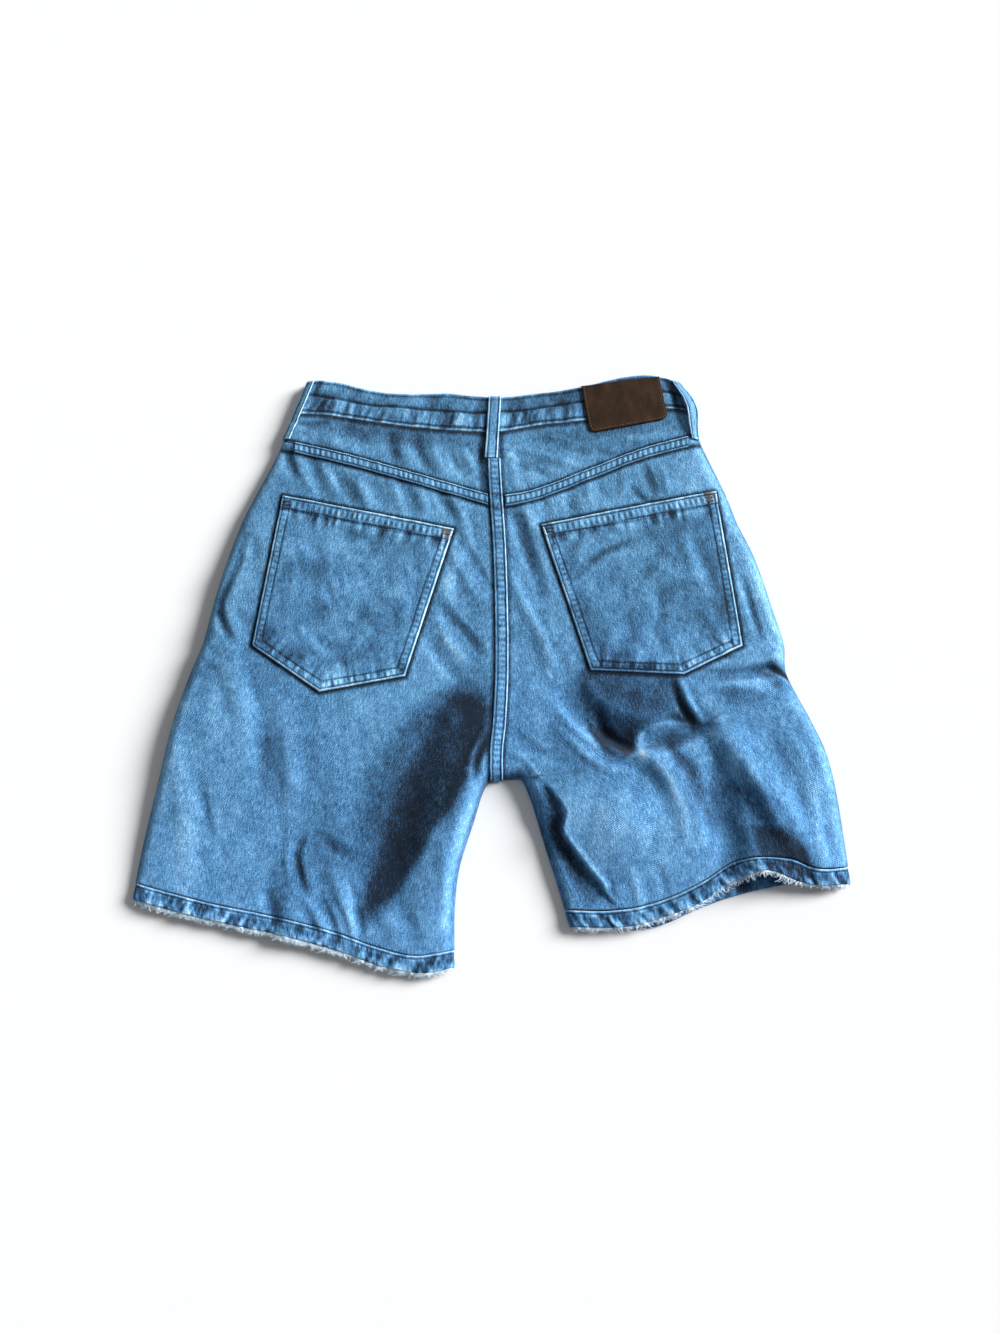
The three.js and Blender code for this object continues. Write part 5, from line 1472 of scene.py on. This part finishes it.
def pocket_relief(side, xy):
    """How far out the pocket's face stands, and its wear and painted shading.

    Both are sums of pads, streaks and grooves that depend on the distance from the top edge, from the sides
    and from the two lower edges, and on the length along them.
    """
    sign = 1 if side == "left" else -1
    top_line, body = pocket_lines(side)
    x, y = xy[..., 0], xy[..., 1]
    from_top, _, top_share = nearest_on(top_line, x, y)
    from_side, _, side_share = nearest_on(body, x, y)
    from_low, _, low_share = nearest_on(body[1:4], x, y)
    from_edge = np.minimum(from_top, from_side)
    hem_part = 1 - smooth((from_top - POCKET_HEM + 0.6) / 1.2)
    side_part = 1 - hem_part
    pads = ladder(top_share * line_length(top_line), 121 + sign)
    pads = pads * bump((from_top - BETWEEN_TOP_STITCHES) / 5.0)
    side_pads = ladder(side_share * line_length(body), 131 + sign) * side_part
    side_pads = side_pads * bump((from_side - BETWEEN_SIDE_STITCHES) / 3.4)
    streaks = noise(low_share * line_length(body[1:4]) / 3.1, from_low / 22, 141 + sign)
    streaks = streaks * np.clip(1 - from_low / 30, 0, 1) ** 1.3 * smooth(from_low / 6)
    hem_streaks = noise(top_share * 46, from_top / 16, 151 + sign) * bump((from_top - 17) / 12)
    side_grooves = sum(bump((from_side - row) / 1.1) for row in SIDE_STITCHES)
    top_grooves = sum(bump((from_top - row) / 1.1) for row in TOP_STITCHES)
    grooves = np.clip(side_grooves * (1 - hem_part * (from_top < from_side)) + top_grooves, 0, 1)
    thick = POCKET_THICK + (POCKET_HEM_THICK - POCKET_THICK) * hem_part
    out = (LAID_GAP + thick - 0.25 - 0.45 * grooves + 0.45 * pads + 0.22 * side_pads + 0.5 * streaks
           + 0.4 * hem_streaks - rounded(from_edge, 1.4, 1.3))
    mottle = 0.24 * noise(x / 15, y / 21, 161) + 0.14 * noise(x / 6, y / 8, 162)
    # a pale worn rim, painted shade in the stitch grooves and under the hem's edge, and pads and streaks that
    # are pale where they stand out: wear and partly painted shading
    shade = (0.85 * read(panel_wear_and_shading, x, y) + 0.3 * bump((from_edge - 2) / 12) - 0.18 + mottle - 1.05 * grooves
             + 0.65 * smooth((2.4 - from_edge) / 1.5) + 0.75 * pads + 0.4 * side_pads + streaks
             + 0.8 * hem_streaks - 0.12 * bump((from_side - BETWEEN_SIDE_STITCHES) / 4) * side_part
             - 0.3 * bump((from_top - 14.8) / 1.2))
    return out, shade


for side in SIDE:
    top_line, body = pocket_lines(side)
    if side == "left":
        top_line, body = top_line[::-1], body[::-1]
    # the corners from the picture's left to its right
    top_start, low_start, tip, low_end, top_end = body
    tip_share = (tip[0] - low_start[0]) / (low_end[0] - low_start[0])
    drop = tip - (low_start * (1 - tip_share) + low_end * tip_share)
    u = np.unique(np.append(fine_ends([0, .003, .007], 132, 1), tip_share))
    v, u = np.meshgrid(fine_ends([0, .003, .007], 124, 1), u, indexing="ij")
    tent = v * np.minimum(u / tip_share, (1 - u) / (1 - tip_share))
    xy = blend(blend(top_start, low_start, v), blend(top_end, low_end, v), u) + drop * tent[..., None]
    out, shade = pocket_relief(side, xy)
    points, _ = on_back(xy, out)
    thing = sheet_mesh(f"back_pocket_cloth_{side}", points, CLOTH, denim, shade)
    finished(thing, f"back_pocket_{side}")
    for distance in SIDE_STITCHES:
        pocket_tracks.append((side, resampled(inset(body, distance))))
    for distance in TOP_STITCHES:
        pocket_tracks.append((side, resampled(inset(top_line, distance))[2:-2]))

# %% [markdown]
# ## Patch and belt loops
# The patch is a plate of leather with two rounded corners. A loop is a folded strip with pale, raised edges
# and two rows of stitches; the right side loop stands off the band.

# %% Patch and belt loops
corners = np.array(PATCH_CORNERS, float)
patch_width = np.linalg.norm(corners[1] - corners[0])
patch_height = np.linalg.norm(corners[3] - corners[0])
PATCH_RADIUS, PATCH_THICK, PATCH_STITCH = 7.0, 1.7, 2.4


def patch_xy(u, v):
    """A point of the patch, whose rows get shorter within the corner radius of its lower edge."""
    t = np.clip((v - 1 + PATCH_RADIUS / patch_height) * patch_height / PATCH_RADIUS, 0, 1)
    draw_in = PATCH_RADIUS / patch_width * (1 - np.sqrt(1 - t * t))
    u = draw_in + u * (1 - 2 * draw_in)
    return blend(blend(corners[0], corners[1], u), blend(corners[3], corners[2], u), v)


patch_v, patch_u = fine_ends([0, .006, .015, .03], 40, 2), fine_ends([0, .004, .01, .018], 62, 2)
v, u = np.meshgrid(patch_v, patch_u, indexing="ij")
xy = patch_xy(u, v)
rim = np.minimum(np.minimum(u, 1 - u) * patch_width, np.minimum(v, 1 - v) * patch_height)
out = LAID_GAP + PATCH_THICK + 0.25 * noise(xy[..., 0] / 14, xy[..., 1] / 14, 161)
points, _ = on_back(xy, out - rounded(rim, 1.2, 1.0) - 0.3 * bump((rim - PATCH_STITCH) / 1.0))
thing = sheet_mesh("patch_leather_sheet", points, 1.3, leather, 0 * u)
finished(thing, "leather_patch")

LOOP_HALF, LOOP_WALL = 6.25, 1.0
LOOP_K = np.array([0, .2, .4, .54, .6, .66, .76, .84, .9, .97, 1])
LOOP_K = np.concatenate([-LOOP_K[:0:-1], LOOP_K])
loop_tracks = []


def loop_sheet(place, xy, base_out, foot=None, shade_shift=0.0):
    """A belt loop from its plan: rows along it, and columns at k from -1 to 1 across it."""
    k = np.abs(LOOP_K)
    s = lengths_along(xy[:, 0])[:, None]
    ends = np.minimum(s, s[-1] - s)
    out = base_out + 1.15 + 0.35 * bump((k - 0.84) / 0.14) - 0.3 * bump((k - 0.6) / 0.12)
    out = out - rounded((1 - k) * LOOP_HALF, 0.9, 0.8) + 0.2 * noise(s / 5, LOOP_K * 2, 171)
    points, normal = on_back(xy, out - 0.5 * bump(ends / 1.6), foot)
    # pale worn edges, and painted shade in the stitch grooves
    shade = shade_shift + 0.12 + 0.9 * bump((k - 0.88) / 0.15) - bump((k - 0.62) / 0.14)
    shade = shade + 0.16 * noise(s / 7, LOOP_K * 1.5, 173)
    shade = shade + 0.35 * bump((ends - 1) / 1.5) - 0.3 * bump((ends - 4) / 1.5)
    thing = sheet_mesh(f"belt_loop_cloth_{place}", points, LOOP_WALL, denim, shade)
    finished(thing, f"belt_loop_{place}")
    loop_tracks.append((points, normal))


v = np.linspace(0, 1, 70)[:, None]
xy = np.stack([2.5 - 3.5 * v + LOOP_K * LOOP_HALF, 266 - 65 * v + 0 * LOOP_K], -1)
loop_sheet("center_back", xy, LAID_GAP + 0.9 * bump((v - 0.55) / 0.08) + 0.5 * bump((v - 0.02) / 0.1))
LOOP_TOP_Y, LOOP_LOW_Y = 284, 222
for side, stand_off in (("left", 0.0), ("right", 6.5)):
    curve = outseam[side]
    v = np.linspace(0, 1, 66)[:, None]
    along_edge = part_of(curve, share_at_y(curve, LOOP_TOP_Y), share_at_y(curve, LOOP_LOW_Y))(v)
    # these two are seen half from the side, so in plan they are narrower, and one edge is near the side seam
    x = along_edge[..., 0] - SIDE[side] * (4.85 + 3.65 * LOOP_K)
    xy = np.stack([x, np.broadcast_to(along_edge[..., 1], x.shape)], -1)
    if side == "right":
        xy = xy[:, ::-1]
    lift = LAID_GAP + stand_off * np.sin(np.pi * v) ** 1.5
    loop_sheet(f"side_{side}", xy, lift, BAND_FOOT, 0.1)

# %% [markdown]
# ## Stitches
# Each stitch is a small spindle of thread, half sunk in the cloth. A track is a line of points with normals.

# %% Stitches
SPINDLE = np.array([
    (-0.5, 0, -0.2), (-0.27, -0.5, -0.1), (-0.27, 0, 0.5), (-0.27, 0.5, -0.1), (-0.27, 0, -0.5),
    (0.27, -0.5, -0.1), (0.27, 0, 0.5), (0.27, 0.5, -0.1), (0.27, 0, -0.5), (0.5, 0, -0.2),
])
SPINDLE_FACES = np.array([
    (0, 2, 1), (0, 3, 2), (0, 4, 3), (0, 1, 4), (1, 2, 6), (1, 6, 5), (2, 3, 7), (2, 7, 6),
    (3, 4, 8), (3, 8, 7), (4, 1, 5), (4, 5, 8), (9, 5, 6), (9, 6, 7), (9, 7, 8), (9, 8, 5),
])
threads = {"navy": [], "tan": []}


def spindles(kind, middle, ahead, beside, up, size, lift):
    """Puts a spindle at each middle. size is its length along ahead, its width and its height along up."""
    length, width, height = size
    corner = middle[:, None] + ahead * SPINDLE[:, :1] * length + beside * SPINDLE[:, 1:2] * width
    threads[kind].append(corner + up * (SPINDLE[:, 2:] * height + lift))


def read_along(values, lengths, place):
    """Rows of three values, read at some lengths along a track."""
    return np.stack([np.interp(place, lengths, values[:, i]) for i in range(3)], -1)


def stitch(kind, track, normal, pitch=2.7, length=2.0, width=0.62, lift=0.1, seed=0):
    """Adds a row of stitches along a track, one each pitch with a little jitter."""
    s = lengths_along(track)
    count = int(s[-1] / pitch)
    random = np.random.default_rng(1000 + seed)
    place = (np.arange(count) + 0.5) * pitch + random.uniform(-0.25, 0.25, count)
    ahead = unit(read_along(track, s, place + 0.8) - read_along(track, s, place - 0.8))
    up = unit(read_along(normal, s, place))
    beside = np.cross(up, ahead)
    size = (length * random.uniform(0.85, 1.1, count)[:, None, None], width, width * 0.8)
    middle = read_along(track, s, place)
    spindles(kind, middle, ahead[:, None], beside[:, None], up[:, None], size, lift)


TACK_STITCHES, TACK_WIDTH, TACK_LENGTH, TACK_THREAD = 9, 7.5, 3.2, 0.6


def bar_tack(kind, centre, normal):
    """A short block of stitches side by side, which run along +Y."""
    ahead = np.array([0.0, 1.0, 0.0])
    beside = np.cross(normal, ahead)
    middle = centre + beside * np.linspace(-0.5, 0.5, TACK_STITCHES)[:, None] * TACK_WIDTH
    spindles(kind, middle, ahead, beside, normal, (TACK_LENGTH, TACK_THREAD, TACK_THREAD), 0.2)


for points, normal, seed in seam_tracks:
    for share in (-SEAM_STITCH, SEAM_STITCH):
        column = int(np.argmin(np.abs(SEAM_K - share)))
        stitch("navy", points[:, column], normal[:, column], seed=seed + column)
row = int(round(BAND_STITCH_ROW * (BAND_ROWS - 1)))
stitch("navy", arch[row], arch_normal[row], pitch=3.0, length=2.2, seed=5)
for side in SIDE:
    top, normal = hem_tops[side]
    stitch("navy", top[2], normal[2], pitch=3.2, length=2.3, seed=7 + len(side))
for i, (side, line) in enumerate(pocket_tracks):
    points, normal = on_back(line, pocket_relief(side, line)[0])
    stitch("navy", points, normal, pitch=2.8, length=2.0, seed=20 + i)
for i, (points, normal) in enumerate(loop_tracks):
    for column in (6, 14):
        line, up = points[2:-2, column], normal[2:-2, column]
        stitch("navy", line, up, pitch=2.6, length=1.8, width=0.5, seed=50 + i * 2 + column)
# the pockets' top corners: tan at one corner of each pocket, navy at the other
POCKET_TACKS = [("tan", -44, 121.5), ("navy", -199, 152), ("navy", 56, 127), ("tan", 211, 160)]
for kind, x, y in POCKET_TACKS:
    centre, normal = on_back(np.array([[x, y]], float), np.array([LAID_GAP + 2.3]))
    for shift in (-3.5, 0, 3.5):
        bar_tack(kind, centre[0] + [0, shift, 0], normal[0])
INSEAM_LINE = [(36, -122), (46, -150), (55, -178), (68, -208), (80, -232)]
for shift in (0, 6):
    line = resampled(thinned(spline(INSEAM_LINE)) + [shift * 0.9, 0])
    points, normal = on_back(line)
    stitch("navy", points, normal, seed=70 + shift)

# round the patch on three sides, from its top left corner down, across and up
share = np.linspace(0, 3, 190)
patch_u = np.interp(share, [0, 1, 2, 3], [.03, .03, .97, .97])
patch_v = np.interp(share, [0, 1, 2, 3], [.03, .95, .95, .03])
points, normal = on_back(patch_xy(patch_u, patch_v), np.full(len(share), LAID_GAP + 1.62))
stitch("tan", points, normal, pitch=2.9, length=2.0, width=0.5, seed=90)

# %% [markdown]
# The underside has its own stitches, round the pocket scoops and the fly.

# %% Stitches of the front
def under_track(line):
    """A track on the underside of the front."""
    line = resampled(np.asarray(line, float))
    z = front_lift(line[:, 0], line[:, 1]) + 0.28
    return np.concatenate([line, z[:, None]], 1), np.tile([0.0, 0.0, -1.0], (len(line), 1))


for side in SIDE:
    bite = front_top(side)[0][:38]
    if side == "left":
        bite = bite[::-1]
    for distance in (2.5, 8.5):
        stitch("navy", *under_track(inset(bite, distance)), lift=0.0, seed=200 + int(distance))
top_y = float(front_waist_y(2.0)) - 2
# x, and how far below the waistband
FLY_LINE = [(-36, 0), (-37, 60), (-35, 96), (-26, 122), (-10, 138), (0, 141)]
for shift in (0, 6):
    line = thinned(spline([(x + shift * 0.8, top_y - down + shift * 0.5) for x, down in FLY_LINE]))
    stitch("navy", *under_track(line), lift=0.0, seed=210 + shift)

for kind, material in (("navy", thread), ("tan", tan_thread)):
    corner = np.concatenate(threads[kind])
    faces = SPINDLE_FACES[None] + (np.arange(len(corner)) * len(SPINDLE))[:, None, None]
    thing = make_mesh(f"stitches_{kind}", corner, faces.reshape(-1, 3), material)
    finished(thing, None)
    print(kind, "stitches:", len(corner))

# %% [markdown]
# ## Frayed hems
# Loose yarns stick out of the free edges of the hems. Each is a thin bent tube with three sides.

# %% Frayed hems
FRAY_RINGS, FRAY_LEAST_Z = 5, 0.25
FRAY_ANGLES = np.radians([90.0, 210.0, 330.0])[:, None]


def fray(top, normal, side, count, seed):
    """Tubes from random places on the free edge: they leave it outwards and bend along it and up."""
    random = np.random.default_rng(seed)
    s = lengths_along(top[-1])
    share = np.sort(random.uniform(0.01, 0.99, count * 2))
    worn = 0.45 + 0.55 * bump((share - 0.45) / 0.4) if side == "left" else np.full(count * 2, 0.5)
    worn = worn * (0.6 + 0.4 * noise(share * 26, share * 0, seed))
    place = share[random.uniform(0, 1, count * 2) < worn] * s[-1]
    free_edge, out_of_cloth = read_along(top[-1], s, place), read_along(normal[-1], s, place)
    outwards = unit(free_edge - read_along(top[-4], s, place))
    sideways = np.cross(out_of_cloth, outwards)
    n = len(place)
    lean = random.normal(0, 0.9, (n, 1))
    rise = random.uniform(-0.35, 0.35, (n, 1))
    length = random.gamma(3.0, 1.0, (n, 1)).clip(1.0, 6.5)
    curl = random.normal(0, 0.9, (n, 1))
    direction = unit(outwards + lean * sideways + rise * out_of_cloth)
    t = np.linspace(0, 1, FRAY_RINGS)[None, :, None]
    root = (free_edge - 0.4 * out_of_cloth)[:, None]
    path = root + direction[:, None] * length[:, None] * t + (curl * length * sideways)[:, None] * t**2 * 0.5
    path[..., 2] = np.maximum(path[..., 2], FRAY_LEAST_Z)
    radius = (random.uniform(0.22, 0.42, (n, 1, 1)) * (1 - 0.55 * t))[..., None]
    second = unit(np.cross(direction, np.array([0.3, 0.2, 1.0])))[:, None]
    third = np.cross(direction[:, None], second)
    ring = np.cos(FRAY_ANGLES) * second + np.sin(FRAY_ANGLES) * third
    return path[:, :, None] + ring[:, None] * radius


tubes = [fray(*hem_tops["left"], "left", 5200, 301), fray(*hem_tops["right"], "right", 2200, 302)]
tubes = np.concatenate(tubes)
tube_faces = np.array([
    (3 * i + a, 3 * i + (a + 1) % 3, 3 * i + 3 + (a + 1) % 3, 3 * i + 3 + a)
    for i in range(FRAY_RINGS - 1) for a in range(3)
])
faces = tube_faces[None] + (np.arange(len(tubes)) * FRAY_RINGS * 3)[:, None, None]
thing = make_mesh("frayed_yarns", tubes, faces.reshape(-1, 4), frayed)
finished(thing, None)
print("frayed yarns:", len(tubes))

# %% [markdown]
# ## What stays as it is
# The buttons, the front loops and the hidden facings keep their solids and get their materials.

# %% Materials of the remaining solids
for name, node in frame["nodes"].items():
    if node.hide_render:
        continue
    node.data.materials.clear()
    node.data.materials.append(button_metal if "button" in name else denim_hidden)
    print("solid:", name)

# %% [markdown]
# ## Camera, light and floor
# The camera stands above and looks down at 78 degrees. The key light is a sun, so that the floor is evenly
# white. It stands at the right and a little to the top, so that the slopes that face left are dark, and its
# angle is the width of a big soft window. A weak area light and a pale sky fill the shade.

# %% Camera, light and floor
TARGET = Vector((0.0075, -0.0045, 0.0))
CAMERA_ELEVATION, CAMERA_DISTANCE, CAMERA_LENS = math.radians(78), 1.25, 35.16
SUN_PLACE, SUN_ENERGY, SUN_ANGLE = Vector((2.7, 1.1, 1.45)), 8.2, math.radians(25)
FILL_PLACE, FILL_SIZE, FILL_ENERGY = Vector((-0.8, 0.6, 2.4)), 2.4, 5
scene = bpy.context.scene


def towards(direction):
    """The turn of a light that shines along a direction."""
    return direction.to_track_quat("-Z", "Y").to_euler()


def placed(name, data, location, turn):
    """A camera or light at a place."""
    thing = bpy.data.objects.new(name, data)
    thing.location, thing.rotation_euler = location, turn
    scene.collection.objects.link(thing)
    return thing


camera_data = bpy.data.cameras.new("camera")
camera_data.lens = CAMERA_LENS
camera_data.clip_start, camera_data.clip_end = 0.01, 20
back = Vector((0, -math.cos(CAMERA_ELEVATION), math.sin(CAMERA_ELEVATION)))
camera_turn = (math.pi / 2 - CAMERA_ELEVATION, 0, 0)
scene.camera = placed("camera", camera_data, TARGET + back * CAMERA_DISTANCE, camera_turn)
sun_data = bpy.data.lights.new("key", "SUN")
sun_data.energy, sun_data.angle = SUN_ENERGY, SUN_ANGLE
placed("key", sun_data, SUN_PLACE, towards(-SUN_PLACE))
fill_data = bpy.data.lights.new("fill", "AREA")
fill_data.size, fill_data.energy = FILL_SIZE, FILL_ENERGY
placed("fill", fill_data, FILL_PLACE, towards(TARGET - FILL_PLACE))
scene.world = bpy.data.worlds.new("world")
scene.world.use_nodes = True
background = scene.world.node_tree.nodes["Background"]
background.inputs["Color"].default_value = (0.93, 0.965, 1.0, 1)
background.inputs["Strength"].default_value = 0.25
scene.view_settings.view_transform = "Standard"

# the floor lies a hair below the soles of the solids, so that no two faces share a plane
FLOOR_Z, FLOOR_HALF = -0.0002, 6
floor_material, tree, shader = new_material("floor")
set_inputs(tree, shader, Base_Color=(0.678, 0.678, 0.68, 1), Roughness=0.9)
floor_mesh = bpy.data.meshes.new("floor")
floor_corners = [(x * FLOOR_HALF, y * FLOOR_HALF, FLOOR_Z) for x, y in ((-1, -1), (1, -1), (1, 1), (-1, 1))]
floor_mesh.from_pydata(floor_corners, [], [(0, 1, 2, 3)])
floor_mesh.materials.append(floor_material)
floor = bpy.data.objects.new("floor", floor_mesh)
scene.collection.objects.link(floor)
floor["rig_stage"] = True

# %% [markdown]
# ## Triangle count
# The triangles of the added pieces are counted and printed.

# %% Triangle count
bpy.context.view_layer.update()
triangles = sum(len(p.vertices) - 2 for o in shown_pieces() if "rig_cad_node" not in o for p in o.data.polygons)
print("added triangles:", triangles)
